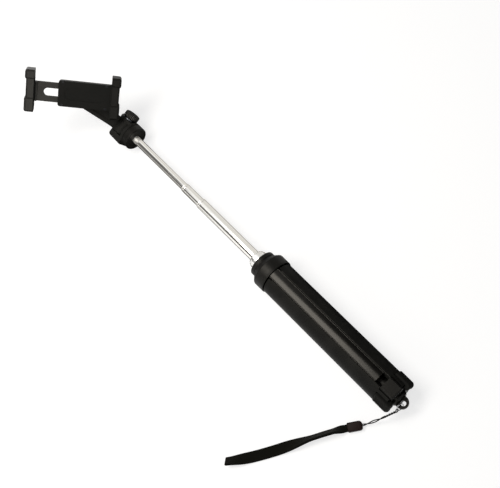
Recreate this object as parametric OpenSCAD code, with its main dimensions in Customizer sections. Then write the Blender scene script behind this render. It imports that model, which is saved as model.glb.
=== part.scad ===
// Telescopic selfie stick whose handle opens into a table tripod.
// Lies on a table along X, head towards +X, one leg down; millimetres.

/* [Handle] */
// Outer diameter of the closed legs
grip_d = 34; // [33.5:0.1:34.4]
// Outer diameter of the collar skirt and of the soles
skirt_d = 36; // [35.9:0.1:37]
// Outer diameter of the nose ring at the collar's front
nose_d = 27; // [25:0.5:28]
// Width of the three fixed spine strips between the legs, in degrees
strip_deg = 39; // [36:1:40]
// Gap between a leg's edge and a spine strip, in degrees
leg_gap_deg = 1.2; // [1:0.1:2]
// Wall thickness of a leg
leg_wall = 1.8; // [1.4:0.1:2.2]

/* [Rods] */
// Outer diameter of the lower steel rod
lower_d = 10.8; // [10.6:0.1:10.9]
// Outer diameter of the middle steel rod
middle_d = 9.4; // [9.2:0.1:9.5]
// Outer diameter of the upper steel rod
upper_d = 8; // [7.6:0.1:8.1]
// Wall thickness of the rods
rod_wall = 0.4; // [0.35:0.01:0.45]
// How far the lower rod stands out of the collar
lower_out = 89; // [60:1:100]
// How far the middle rod stands out of the lower rod
middle_out = 24.5; // [10:0.5:60]
// How far the upper rod stands out of the middle rod
upper_out = 78.5; // [40:0.5:90]

/* [Head] */
// Turn of the head about the rod
head_pan = -19; // [-30:1:30]
// Tilt of the clamp arm up from the rod's line
head_tilt = 43.6; // [0:0.2:60]
// Turn of the clamp on the end of its arm
clamp_turn = 30.3; // [-10:0.1:60]
// Diameter of the head's base disc
base_d = 25.2; // [24.8:0.2:27]
// Diameter of the tilt hinge barrel
barrel_d = 17.4; // [16:0.2:17.4]
// Diameter of the tilt knob
knob_d = 15.8; // [14:0.2:16.4]

/* [Clamp] */
// Distance between the two jaws' gripping faces
jaw_gap = 75; // [60:1:88]
// Length of a jaw
jaw_len = 42.2; // [40:0.2:44]
// Width of a jaw at its end lobes
lobe_w = 9.2; // [8.6:0.1:9.6]
// Width of a jaw between its lobes
waist_w = 8; // [7:0.1:8.4]

/* [Wrist strap] */
// Width of the webbing
web_w = 10; // [8:0.5:12]
// Thickness of the doubled webbing
web_t = 2.6; // [2:0.1:3]
// Diameter of the twisted cord between the ring and the slider
cord_d = 2.4; // [2:0.1:3]

/* [Hidden] */
$fn = 64;

// Place of the rod axis in the part's own frame
axis_x = -51.8;
axis_y = -16;
axis_z = skirt_d / 2;

grip_r = grip_d / 2;
skirt_r = skirt_d / 2;
nose_r = nose_d / 2;
core_r = 8.4;
column_r = 7.3;
column_bore = 6.3;
run = 0.075;

// Stations along the rod axis, from the collar's front face
skirt_end = -21.4;
hub_end = -14;
leg_front = -22.6;
leg_end = -176;
sole_front = -164;
sole_end = -181;
spine_end = -157;
tail_end = -178;
neck_end = -181;
eye_x = -184.7;
eye_y = 0.7;
pin_x = -23.4;
pin_r = 11.4;
leg_angles = [150, 30, 270];
strip_angles = [90, 210, 330];
leg_half = 60 - strip_deg / 2 - leg_gap_deg;

lower_r = lower_d / 2;
middle_r = middle_d / 2;
upper_r = upper_d / 2;
lower_top = lower_out;
middle_top = lower_top + middle_out;
upper_top = middle_top + upper_out;
rod_len = 149;
lower_end = lower_top - rod_len;
middle_end = middle_top - rod_len + 11.5;
upper_end = upper_top - rod_len + 23;
column_end = -156;

base_r = base_d / 2;
base_t = 7.4;
hinge_drop = 20.8;
hinge_x = upper_top + hinge_drop;
barrel_r = barrel_d / 2;
bolt_r = 2.5;
plate_x = base_t + 0.3 - hinge_drop;
plate_t = 3.8;
arm_len = 60;
arm_top = 1.2;
arm_bottom = -3.4;

// Levels of the clamp, measured along its facing direction from the hinge axis
back_n = 1.7;
floor_n = 3.9;
tongue_n = 4.2;
tongue_t = 2;
roof_n = 6.5;
face_n = 8;
jaw_n = 17;
fixed_p = -jaw_gap / 2 + 1.4;
moving_p = jaw_gap / 2 + 1.4;
body_p = 16;
body_h = 26;
// The jaws reach further past the arm on one side
jaw_q = -1.3;
lobe_a = 9.6;
lobe_b = 15.2;
waist_n = jaw_n - 1.2;

// Frames
module stick() translate([axis_x, axis_y, axis_z]) children();
module leg_frame(a) stick() rotate([a - 90, 0, 0]) children();
module head_frame() stick() translate([hinge_x, 0, 0]) rotate([head_pan, 0, 0]) children();
module arm_frame() head_frame() rotate([0, -head_tilt, 0]) children();
module clamp_frame() arm_frame() translate([arm_len, 0, 0]) rotate([0, 0, clamp_turn]) children();

// Solids along the rod axis
module revolve_x(points) rotate([0, 90, 0]) rotate_extrude() polygon(points);
module round_x(r, x0, x1) translate([x0, 0, 0]) rotate([0, 90, 0]) cylinder(r = r, h = x1 - x0);
module extrude_x(x0, x1) translate([x0, 0, 0]) rotate([90, 0, 90]) linear_extrude(x1 - x0) children();
// Solids across the rod axis: the outline is drawn in x and z
module extrude_y(y0, y1) translate([0, y1, 0]) rotate([90, 0, 0]) linear_extrude(y1 - y0) children();
module round_y(r, y0, y1) translate([0, y1, 0]) rotate([90, 0, 0]) cylinder(r = r, h = y1 - y0);

// Outlines
module rounded(w, h, r) {
    square([w - 2 * r, h], center = true);
    square([w, h - 2 * r], center = true);
    for (sx = [-1, 1], sy = [-1, 1])
        translate([sx * (w / 2 - r), sy * (h / 2 - r)]) circle(r);
}
module stadium(len, r) {
    square([len, 2 * r], center = true);
    for (s = [-1, 1]) translate([s * len / 2, 0]) circle(r);
}
// Wedge opening along +y, with its point moved up by lift
module wedge(half, lift = 0) polygon([
    [0, lift],
    [-60 * sin(half), lift + 60 * cos(half)],
    [60 * sin(half), lift + 60 * cos(half)]
]);
module band(r0, r1, half) intersection() {
    difference() {
        circle(r1);
        circle(r0);
    }
    wedge(half);
}
// Bevels along the outer edges of a band
module edge_bevels(half) for (s = [-1, 1]) rotate(s * half) translate([0, grip_r])
    rotate(45) square(0.5, center = true);
function arc(cx, cy, r, a0, a1, n) = [
    for (i = [0:n]) let (a = a0 + (a1 - a0) * i / n) [cx + r * cos(a), cy + r * sin(a)]
];

// Collar: nose ring, flare and hollow skirt, with three pairs of hinge ears
module collar() color("#1b1b1d") {
    difference() {
        union() {
            stick() revolve_x(concat(
                [[column_r + 0.1, hub_end], [column_r + 0.1, -2.2], [9.4, -2.2], [9.4, 0]],
                arc(nose_r - 1.4, -1.4, 1.4, 90, 0, 4),
                [[nose_r, -4.2], [nose_r - 0.35, -5]],
                [[skirt_r - 0.8, -9.4]],
                arc(skirt_r - 1.2, -10.6, 1.2, 60, 0, 3),
                [[skirt_r, skirt_end + 0.5], [skirt_r - 0.4, skirt_end]],
                [[skirt_r - 1, skirt_end], [skirt_r - 1.5, skirt_end + 0.6]],
                [[skirt_r - 1.5, -15.2], [skirt_r - 2.6, hub_end]]
            ));
            for (a = leg_angles, s = [-1, 1]) leg_frame(a)
                extrude_y(s * 4 - 0.9, s * 4 + 0.9) {
                    translate([pin_x, pin_r]) circle(2.2);
                    translate([pin_x, pin_r - 2.2]) square([hub_end - pin_x + 0.5, 3]);
                }
        }
        for (a = leg_angles) leg_frame(a) translate([pin_x, 0, pin_r]) round_y(1.22, -8, 8);
    }
}

// Bright ferrule that guides the lower rod at the column's mouth
module ferrule() color("#dfe2e4") stick() revolve_x([
    [lower_r + run, -14], [column_bore - 0.04, -14], [column_bore - 0.04, -2.1],
    [9.3, -2.1], [9.3, 4.6], [9, 5.2], [8.5, 5.4], [8.5, 6.4], [7.6, 7.9],
    [6.2, 7.9], [lower_r + run, 7]
]);

// Fixed tube that the rods slide into
module column() color("#b9bcbf") stick() difference() {
    round_x(column_r, column_end, -2.4);
    round_x(column_bore, column_end - 1, 0);
}

// Spine: core tube with three webs, each carrying a strip that shows between the legs
module spine() color("#202022") stick() difference() {
    union() {
        round_x(core_r, spine_end, hub_end - 0.1);
        for (a = strip_angles) rotate([a - 90, 0, 0]) extrude_x(spine_end, skirt_end - 0.6) {
            translate([-1.6, 7.6]) square([3.2, 7.6]);
            difference() {
                band(14.6, grip_r, strip_deg / 2);
                edge_bevels(strip_deg / 2);
                // fine line along each strip's edges
                for (s = [-1, 1]) rotate(s * (strip_deg / 2 - 3.4)) translate([0, grip_r + 0.2])
                    circle(r = 0.55);
            }
        }
    }
    round_x(column_r + 0.05, spine_end - 1, 0);
}

// Tail cap: plug, neck, three blocks that fill the gaps between the legs, and the eyelet lug
module tail_cap() color("#1d1d1f") stick() {
    round_x(column_bore - 0.05, column_end - 2, column_end + 4);
    difference() {
        union() {
            revolve_x([
                [0, spine_end - 0.2], [8.4, spine_end - 0.2], [8.4, sole_front + 0.4],
                [8, sole_front], [8, neck_end + 1.4], [6.8, neck_end], [0, neck_end]
            ]);
            for (a = strip_angles) rotate([a - 90, 0, 0]) extrude_x(tail_end, sole_front) polygon([
                [-2.6, 7], [2.6, 7], [6.8, 14], [7, 15], [5.6, 16.6], [-5.6, 16.6], [-7, 15], [-6.8, 14]
            ]);
            translate([eye_x + 1.5, eye_y, -1.6]) linear_extrude(3.2) {
                circle(5.9);
                translate([0, -5.9]) square([6, 11.8]);
            }
        }
        translate([eye_x, eye_y, -5]) cylinder(r = 2.4, h = 10);
        // bevels along the blocks' end edges
        for (a = strip_angles) rotate([a - 90, 0, 0])
            translate([tail_end, 0, 17.4]) rotate([0, 45, 0]) cube([2.6, 20, 2.6], center = true);
    }
}

module leg_pins() color("#c9ccce") for (a = leg_angles) leg_frame(a)
    translate([pin_x, 0, pin_r]) round_y(1.2, -5, 5);

// Leg: open channel with cross webs, a hinge lug and a tongue for its sole
module leg_section() {
    band(grip_r - leg_wall, grip_r, leg_half);
    intersection() {
        difference() {
            circle(grip_r);
            circle(11.2);
        }
        difference() {
            wedge(leg_half);
            wedge(leg_half, leg_wall / sin(leg_half));
        }
    }
}
module leg(a) color("#232325") leg_frame(a) difference() {
    union() {
        difference() {
            extrude_x(leg_end, leg_front) difference() {
                leg_section();
                edge_bevels(leg_half);
            }
            // the sole's seat
            translate([leg_end - 1, -6.5, 10]) cube([sole_front + 0.3 - leg_end + 1, 13, 9]);
        }
        for (x = [-60, -95, -130, -162.2]) extrude_x(x, x + 1.6) intersection() {
            band(11.2, grip_r - 0.6, leg_half);
            translate([0, 14]) square([24, 20], center = true);
        }
        extrude_y(-2.7, 2.7) {
            translate([pin_x, pin_r]) circle(2.5);
            translate([pin_x - 2.5, pin_r]) square([leg_front - pin_x + 2.5, 4.2]);
        }
        translate([leg_end + 1, -4, 12.8]) cube([sole_front - leg_end + 2, 8, 1.8]);
    }
    translate([pin_x, 0, pin_r]) round_y(1.26, -8, 8);
    // end corners cut back beside the tail cap's blocks
    for (s = [-1, 1]) rotate([-s * 32.4, 0, 0])
        translate([leg_end - 1, s < 0 ? -9 : 0, 6]) cube([sole_front + 0.4 - leg_end + 1, 9, 14]);
    // front corners drawn in so that they swing clear of the strips
    for (s = [-1, 1]) rotate([-s * (leg_half - 2.4), 0, 0])
        translate([leg_front - 3.4, s < 0 ? -4 : 0, 8]) cube([6, 4, 12]);
}
module leg_1() leg(leg_angles[0]);
module leg_2() leg(leg_angles[1]);
module leg_3() leg(leg_angles[2]);

// Rubber sole, flat outside so that the stick lies steady
module foot(a) color("#2b2b2c") leg_frame(a) difference() {
    intersection() {
        extrude_y(-6.2, 6.2) {
            translate([sole_end + 3, 11.6]) square([sole_front - sole_end - 3, skirt_r - 11.6]);
            translate([sole_end + 3, skirt_r - 3]) circle(3);
            translate([sole_end, 13.6]) square([4, skirt_r - 3 - 13.6]);
            translate([sole_end + 2, 13.6]) circle(2);
        }
        extrude_x(sole_end - 1, sole_front + 1) polygon([
            [-6.2, 11], [6.2, 11], [6.2, skirt_r - 1], [5.2, skirt_r], [-5.2, skirt_r], [-6.2, skirt_r - 1]
        ]);
    }
    translate([leg_end + 0.9, -4.1, 12.7]) cube([sole_front - leg_end + 3, 8.2, 2]);
    // grip grooves in the sole
    for (x = [-176, -172, -168]) translate([x, 0, skirt_r]) round_y(0.5, -7, 7);
}
module foot_1() foot(leg_angles[0]);
module foot_2() foot(leg_angles[1]);
module foot_3() foot(leg_angles[2]);

// Drawn tube whose mouth is rolled in to guide the next rod
module drawn_rod(r, x0, x1, guide) color("#d4d6d8") stick() revolve_x([
    [r - rod_wall, x0], [r, x0], [r, x1 - 2.2], [r - 0.3, x1 - 1.2], [guide + 0.28, x1],
    [guide, x1], [guide, x1 - 3], [r - rod_wall, x1 - 3.6]
]);
// Friction bush pressed into a rod's lower end
module rod_bush(bore, fit_r, x0) color("#3a3a3c") stick() difference() {
    union() {
        revolve_x([
            [0, x0 - 6], [fit_r - 0.5, x0 - 6], [fit_r, x0 - 5.4], [fit_r, x0 - 0.1],
            [bore - 0.02, x0 - 0.1], [bore - 0.02, x0 + 5], [0, x0 + 5]
        ]);
    }
    round_x(2.2, x0 - 7, x0 + 6);
    translate([x0 - 7, -0.6, 0]) cube([5, 1.2, 12]);
}
module lower_rod() drawn_rod(lower_r, lower_end, lower_top, middle_r + run);
module lower_bush() rod_bush(lower_r - rod_wall, column_bore - run, lower_end);
module middle_rod() drawn_rod(middle_r, middle_end, middle_top, upper_r + run);
module middle_bush() rod_bush(middle_r - rod_wall, lower_r - rod_wall - run, middle_end);
module upper_rod() color("#dcdedf") stick() difference() {
    round_x(upper_r, upper_end, upper_top + 5.4);
    round_x(upper_r - rod_wall, upper_end - 1, upper_top + 3.6);
}
module upper_bush() rod_bush(upper_r - rod_wall, middle_r - rod_wall - run, upper_end);

// Head base: dished disc on the upper rod, with the journal that the head turns on
module head_base() color("#1c1c1e") stick() translate([upper_top, 0, 0]) difference() {
    revolve_x(concat(
        [[0, 1], [8.6, 1], [9.6, 0]],
        arc(base_r - 1.4, 1.4, 1.4, -90, 0, 3),
        [[base_r, base_t - 0.4], [base_r - 0.4, base_t]],
        [[4, base_t], [4, base_t + 2.4], [0, base_t + 2.4]]
    ));
    round_x(upper_r + 0.02, -3, 5.4);
    round_x(1.52, 5.6, base_t + 4);
}
module pan_screw() color("#a9acae") stick() translate([upper_top + base_t, 0, 0]) difference() {
    union() {
        round_x(1.5, -1.7, 2.6);
        round_x(6, 2.6, 3.9);
    }
    extrude_x(3.2, 6) circle(r = 1.7, $fn = 6);
}

// Clevis: turning plate with two ears that hold the tilt barrel
module ear_outline() {
    translate([plate_x + 1, -barrel_r - 0.4]) square([-plate_x - 1, 2 * barrel_r + 0.8]);
    circle(r = barrel_r + 0.6);
}
module clevis() color("#262628") head_frame() difference() {
    union() {
        revolve_x([
            [0, plate_x], [base_r - 0.4, plate_x], [base_r, plate_x + 0.4],
            [base_r, plate_x + plate_t - 0.6], [base_r - 0.6, plate_x + plate_t], [0, plate_x + plate_t]
        ]);
        intersection() {
            union() {
                extrude_y(7.2, 14.6) ear_outline();
                extrude_y(-10.4, -7.2) ear_outline();
            }
            // the far ear's end is rounded off
            extrude_x(plate_x, 12) polygon(concat(
                [[-10.4, -barrel_r], [-9.9, -barrel_r - 0.5]],
                arc(11.8, -barrel_r + 2, 2.6, -90, 0, 4),
                arc(11.8, barrel_r - 2, 2.6, 0, 90, 4),
                [[-9.9, barrel_r + 0.5], [-10.4, barrel_r]]
            ));
        }
    }
    round_x(4.06, plate_x - 1, plate_x + 4);
    round_x(6.3, plate_x + 2.2, plate_x + 5);
    round_y(bolt_r + 0.06, -20, 20);
    translate([0, 16, 0]) rotate([90, 0, 0]) cylinder(r = 4.75, h = 6, $fn = 6);
}
module tilt_nut() color("#b5b8ba") head_frame() difference() {
    translate([0, 13.6, 0]) rotate([90, 0, 0]) cylinder(r = 4.6, h = 3.5, $fn = 6);
    round_y(bolt_r + 0.06, 9, 15);
}
module tilt_washer() color("#c3c7ca") head_frame() difference() {
    round_y(8.4, -11.4, -10.5);
    round_y(bolt_r + 0.06, -14, -10);
}
module tilt_bolt() color("#aeb1b3") head_frame() {
    round_y(bolt_r, -15.4, 13.4);
}

// Fluted knob with a dished face
module tilt_knob() color("#1a1a1c") head_frame() difference() {
    translate([0, -11.7, 0]) rotate([90, 0, 0]) rotate_extrude() polygon(concat(
        [[0, 0], [knob_d / 2 - 1.2, 0], [knob_d / 2 - 0.2, 0.8]],
        arc(knob_d / 2 - 1.2, 4.2, 1.2, 0, 90, 3),
        [[knob_d / 2 - 2.4, 5], [0, 4.6]]
    ));
    round_y(bolt_r, -15.4, -10);
    for (i = [0:17]) rotate([0, i * 20, 0]) translate([knob_d / 2 + 0.25, 0, 0]) round_y(0.7, -16.3, -12.1);
}

// Tilt arm: barrel in the clevis, flat arm and swivel boss
module tilt_arm() color("#19191b") arm_frame() difference() {
    union() {
        round_y(barrel_r, -6.8, 6.8);
        translate([0, 0, arm_bottom]) linear_extrude(arm_top - arm_bottom) {
            polygon([[0, -6.8], [0, 6.8], [16, 6.8], [arm_len - 6, 8.4], [arm_len - 6, -8.4], [16, -6.8]]);
            translate([arm_len, 0]) circle(10);
        }
        translate([arm_len, 0, arm_bottom]) cylinder(r = 9, h = 1.4 - arm_bottom);
    }
    round_y(bolt_r + 0.06, -10, 10);
    translate([arm_len, 0, -10]) cylinder(r = 3.02, h = 20);
    // long recesses that lighten the arm
    for (z = [arm_top - 1, arm_bottom - 1]) translate([28, 0, z]) linear_extrude(2) stadium(20, 3.6);
}
module swivel_pin() color("#b2b5b7") clamp_frame() difference() {
    union() {
        translate([0, 0, arm_bottom + 0.2]) cylinder(r = 3, h = 6.2);
        translate([0, 0, 2.7]) cylinder(r = 5.5, h = 1);
    }
    translate([0, 0, 3]) linear_extrude(2) square([6, 1.2], center = true);
}

// Jaw: low bar between two lobes that are bevelled all round; p grows away from the grip
module jaw_side(w, top, cut) polygon([
    [0, back_n], [w - 1.4, back_n], [w, back_n + 1.4],
    [w, top - cut], [w - cut, top], [0.6, top], [0, top - 0.6]
]);
module lobe(q0, q1) intersection() {
    extrude_y(q0, q1) jaw_side(lobe_w, jaw_n, 2);
    extrude_x(-1, lobe_w + 1) polygon([
        [q0 + 1.2, back_n], [q1 - 1.2, back_n], [q1, back_n + 1.2], [q1, jaw_n - 2], [q1 - 1.8, jaw_n],
        [q0 + 1.8, jaw_n], [q0, jaw_n - 2], [q0, back_n + 1.2]
    ]);
    translate([lobe_w / 2 - 1.5, (q0 + q1) / 2, 0]) linear_extrude(40) rounded(lobe_w + 3, q1 - q0, 2.4);
}
module jaw_bar() translate([0, jaw_q, 0]) {
    extrude_y(-jaw_len / 2 + 3, jaw_len / 2 - 3) jaw_side(waist_w, waist_n, 1.6);
    lobe(-jaw_len / 2, -jaw_len / 2 + lobe_a);
    lobe(jaw_len / 2 - lobe_b, jaw_len / 2);
}

// Clamp body: fixed jaw, back wall and the two rails that guide the sliding jaw
module clamp_body() color("#212123") clamp_frame() difference() {
    union() {
        translate([fixed_p, 0, 0]) mirror([1, 0, 0]) jaw_bar();
        translate([(fixed_p - 1 + body_p) / 2, 0, back_n]) linear_extrude(roof_n - back_n)
            rounded(body_p - fixed_p + 1, body_h, 3);
        translate([fixed_p - 1, -body_h / 2, back_n]) cube([12, body_h, roof_n - back_n]);
    }
    // channel
    translate([fixed_p + 0.6, -10.2, floor_n]) cube([80, 20.4, 10]);
    translate([0, 0, -5]) cylinder(r = 3.06, h = 20);
    translate([0, 0, 2.5]) cylinder(r = 5.8, h = 10);
    // pocket for the detent leaf
    translate([-22, 8, floor_n - 0.9]) cube([18, 2.2, 3]);
    for (s = [-1, 1], p = [fixed_p + 5, body_p - 4])
        translate([p, s * 11.6, floor_n]) cylinder(r = 0.72, h = 8);
    // seat for the jaw's pad
    translate([fixed_p - 1.1, -15, face_n + 1]) cube([4, 30, 6]);
}
// Cover plate over the channel, with a sunk middle
module clamp_cover() color("#262628") clamp_frame() difference() {
    translate([(fixed_p + 0.3 + body_p) / 2, 0, roof_n]) linear_extrude(face_n - roof_n)
        rounded(body_p - fixed_p - 0.3, body_h, 2.4);
    for (s = [-1, 1], p = [fixed_p + 5, body_p - 4]) translate([p, s * 11.6, 0]) {
        cylinder(r = 0.95, h = 20);
        translate([0, 0, face_n - 0.7]) cylinder(r = 1.3, h = 4);
    }
    translate([-10, 0, face_n - 0.5]) linear_extrude(2) stadium(28, 6);
}
module cover_screws() color("#8f9294") clamp_frame()
    for (s = [-1, 1], p = [fixed_p + 5, body_p - 4]) translate([p, s * 11.6, 0]) {
        translate([0, 0, floor_n + 0.2]) cylinder(r = 0.7, h = face_n - floor_n - 0.4);
        translate([0, 0, face_n - 0.65]) cylinder(r = 1.2, h = 0.5);
    }
// Bent leaf that bears on the tongue's edge and holds the jaw where it is put
module detent_spring() color("#cfd2d4") clamp_frame() translate([-13, 9.1, floor_n - 0.7])
    linear_extrude(0.5) polygon([
        [-8.4, -0.2], [-8.4, 0.2], [-3, 0.2], [0, 0.7], [3, 0.2], [8.4, 0.2], [8.4, -0.2],
        [3, -0.2], [0, 0.3], [-3, -0.2]
    ]);
module pad_block() linear_extrude(5.4) rounded(1.6, 29.6, 0.7);
module fixed_pad() color("#3b3b3d") clamp_frame() translate([fixed_p - 0.2, 0, face_n + 1.3]) pad_block();

// Sliding jaw with the flat tongue that runs in the body
module sliding_jaw() color("#212123") clamp_frame() difference() {
    union() {
        translate([moving_p, 0, 0]) jaw_bar();
        translate([-17.6, -9.9, tongue_n]) cube([moving_p + 19.6, 19.8, tongue_t]);
        translate([moving_p - 2.4, -9.9, tongue_n]) cube([6, 19.8, 4.4]);
    }
    // relief slot along the tongue
    translate([9, 0, tongue_n - 1]) linear_extrude(5) stadium(34, 4);
    translate([moving_p - 2.9, -15, face_n + 1]) cube([4, 30, 6]);
}
module sliding_pad() color("#3b3b3d") clamp_frame()
    translate([moving_p + 0.2, 0, face_n + 1.3]) pad_block();

// Wrist strap: split ring, twisted cord, slider and doubled webbing laid on the table.
// Points are x from the collar's front, y from the rod axis, z above the table.
ring_r = 3.5;
ring_wire = 0.5;
ring_at = [eye_x, eye_y + 4.2, axis_z];
slider_at = [-166.8, 43.8, 2.85];
slider_turn = 56.5;
slider_dir = [cos(slider_turn), sin(slider_turn), 0];
slider_len = 13.4;
cord_in = slider_at - 4.4 * slider_dir;
cord_bend = [[-185, 9.6, 17.4], [-181, 18.6, 13.2], cord_in - 11 * slider_dir, cord_in];
web_in = slider_at + 3.2 * slider_dir;
web_out = web_in + 30 * slider_dir;
web_bend = [[web_in[0], web_in[1]], [web_out[0], web_out[1]], [-131.5, 118], [-109, 147.6]];

function bezier(p, t) = pow(1 - t, 3) * p[0] + 3 * pow(1 - t, 2) * t * p[1]
    + 3 * (1 - t) * t * t * p[2] + t * t * t * p[3];
function ease(u) = let (v = min(1, max(0, u))) v * v * (3 - 2 * v);
// The loop leans on one edge near the slider, lies flat in its middle and lifts again at its fold
function web_roll(t) = 43 * ease((t - 0.05) / 0.1) * (1 - ease((t - 0.36) / 0.24))
    + 28 * ease((t - 0.76) / 0.24);
function web_width(t) = min(web_w, 6.6 + 40 * max(0, t - 0.06));
function web_height(t) = t < 0.05 ? slider_at[2]
    : 0.05 + web_width(t) / 2 * abs(sin(web_roll(t))) + web_t / 2 * abs(cos(web_roll(t)));
function web_point(t) = let (p = bezier(web_bend, t)) [p[0], p[1], web_height(t)];

function unit(v) = v / norm(v);
function step_dir(pts, i) = unit(pts[min(i + 1, len(pts) - 1)] - pts[max(i - 1, 0)]);
// Tube or strap along a route: one ring of n points per route point, closed at both ends
module swept(rings, n) {
    m = len(rings);
    pts = [for (r = rings, p = r) p];
    walls = [
        for (i = [0:m - 2], j = [0:n - 1])
            each [
                [i * n + j, i * n + (j + 1) % n, (i + 1) * n + (j + 1) % n],
                [i * n + j, (i + 1) * n + (j + 1) % n, (i + 1) * n + j]
            ]
    ];
    ends = [
        for (j = [1:n - 2])
            each [[0, j + 1, j], [(m - 1) * n, (m - 1) * n + j, (m - 1) * n + j + 1]]
    ];
    polyhedron(points = pts, faces = concat(walls, ends));
}
function tube_ring(p, d, r, n) =
    let (u = unit(cross([0, 0, 1], d)), v = cross(d, u))
    [for (j = [0:n - 1]) p + r * (cos(j * 360 / n) * u - sin(j * 360 / n) * v)];
function strap_ring_at(p, d, w, t, roll) =
    let (u0 = unit(cross([0, 0, 1], d)), v0 = cross(d, u0))
    let (u = cos(roll) * u0 + sin(roll) * v0, v = cross(d, u))
    [for (c = [[-1, -1], [-1, 1], [1, 1], [1, -1]]) p + c[0] * w / 2 * u + c[1] * t / 2 * v];
module on_table() translate([axis_x, axis_y, 0]) children();

module strap_ring() color("#c5c8ca") on_table() translate(ring_at) rotate([0, -68, 0])
    rotate_extrude() translate([ring_r, 0]) circle(r = ring_wire, $fn = 24);
module strap_cord() color("#3d3d40") on_table() {
    pts = [for (i = [0:10]) bezier(cord_bend, i / 10)];
    swept([for (i = [0:10]) tube_ring(pts[i], step_dir(pts, i), cord_d / 2, 8)], 8);
}
module at_slider() on_table() translate(slider_at) rotate([0, 0, slider_turn]) children();
module strap_slider() color("#2a2425") at_slider() difference() {
    intersection() {
        translate([-slider_len / 2, 0, 0]) rotate([90, 0, 90])
            linear_extrude(slider_len) rounded(8.4, 5.7, 1.5);
        translate([0, 0, -5]) linear_extrude(10) {
            translate([1.5, 0]) square([slider_len - 3, 10], center = true);
            translate([-slider_len / 2 + 3, 0]) rounded(6, 8.4, 2.8);
        }
    }
    rotate([0, 90, 0]) translate([0, 0, -slider_len]) cylinder(r = cord_d / 2 + 0.15, h = slider_len - 4.2);
    translate([2.9, -3.6, -web_t / 2 - 0.3]) cube([slider_len, 7.2, web_t + 0.6]);
}
module strap_web() color("#1e1e20") on_table() {
    pts = [for (i = [0:22]) web_point(i / 22)];
    swept([
        for (i = [0:22])
            strap_ring_at(pts[i], step_dir(pts, i), web_width(i / 22), web_t, web_roll(i / 22))
    ], 4);
}

collar();
ferrule();
column();
spine();
tail_cap();
leg_pins();
leg_1();
leg_2();
leg_3();
foot_1();
foot_2();
foot_3();
lower_rod();
lower_bush();
middle_rod();
middle_bush();
upper_rod();
upper_bush();
head_base();
pan_screw();
clevis();
tilt_nut();
tilt_washer();
tilt_bolt();
tilt_knob();
tilt_arm();
swivel_pin();
clamp_body();
clamp_cover();
cover_screws();
detent_spring();
fixed_pad();
sliding_jaw();
sliding_pad();
strap_ring();
strap_cord();
strap_slider();
strap_web();
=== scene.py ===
"""Look of a telescopic selfie stick whose handle opens into a table tripod.

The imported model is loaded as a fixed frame. Turned, moulded and woven pieces are then
modelled over it, every surface gets its finish, and the stick is lit on a pale table.
Sizes of the pieces are millimetres and those of the studio are metres. Every object is in
metres, in the frame's own axes.
"""

from __future__ import annotations

import logging
import math
from dataclasses import dataclass, field, replace
from enum import Enum
from functools import cache
from typing import Callable, Sequence

import bmesh  # noqa: E402
import bpy  # noqa: E402
from mathutils import Matrix, Vector  # noqa: E402

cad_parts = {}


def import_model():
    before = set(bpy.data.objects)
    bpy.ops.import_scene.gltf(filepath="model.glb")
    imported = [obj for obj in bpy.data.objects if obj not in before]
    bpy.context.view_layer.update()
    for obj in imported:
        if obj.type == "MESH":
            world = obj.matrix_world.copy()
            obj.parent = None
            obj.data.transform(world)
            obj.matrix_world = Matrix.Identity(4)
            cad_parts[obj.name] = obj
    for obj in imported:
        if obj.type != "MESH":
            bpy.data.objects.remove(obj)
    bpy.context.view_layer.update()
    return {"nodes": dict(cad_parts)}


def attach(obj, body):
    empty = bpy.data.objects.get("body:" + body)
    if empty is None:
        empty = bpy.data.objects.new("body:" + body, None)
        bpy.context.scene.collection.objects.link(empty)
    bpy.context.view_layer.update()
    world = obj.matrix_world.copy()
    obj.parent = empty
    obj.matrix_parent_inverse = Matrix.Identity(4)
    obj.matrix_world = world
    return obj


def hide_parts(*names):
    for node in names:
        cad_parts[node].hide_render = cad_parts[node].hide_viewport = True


LOG = logging.getLogger("selfie_stick")
MM = 0.001
MERGE = 1e-4
COPY_MERGE = 5e-4
FLAT_ANGLE = math.radians(0.4)
FULL_TURN = 2 * math.pi
STAND_UP = Matrix.Rotation(math.radians(90), 4, "X")
IMAGE_SIZE = (500, 488)

Point = tuple[float, float]
Color = tuple[float, float, float]
Socket = bpy.types.NodeSocket


def spot(x: float, y: float, z: float) -> Vector:
    """Return a dataclass field that starts as a vector of its own.

    Args:
        x: First coordinate.
        y: Second coordinate.
        z: Third coordinate.

    Returns:
        The field.
    """
    return field(default_factory=lambda: Vector((x, y, z)))


class Slot(Enum):
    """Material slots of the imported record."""

    PLASTIC = "black_plastic"
    BRIGHT = "bright_steel"
    STEEL = "plain_steel"
    RUBBER = "black_rubber"
    WEBBING = "black_webbing"
    SLIDER = "slider_plastic"


class Body(Enum):
    """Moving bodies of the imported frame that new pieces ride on."""

    HANDLE = "handle"
    LEG_1 = "leg_1"
    LEG_2 = "leg_2"
    LEG_3 = "leg_3"
    LOWER = "lower_rod"
    MIDDLE = "middle_rod"
    UPPER = "upper_rod"
    HEAD = "head"
    KNOB = "knob"
    CLAMP = "clamp"
    JAW = "jaw"


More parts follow.
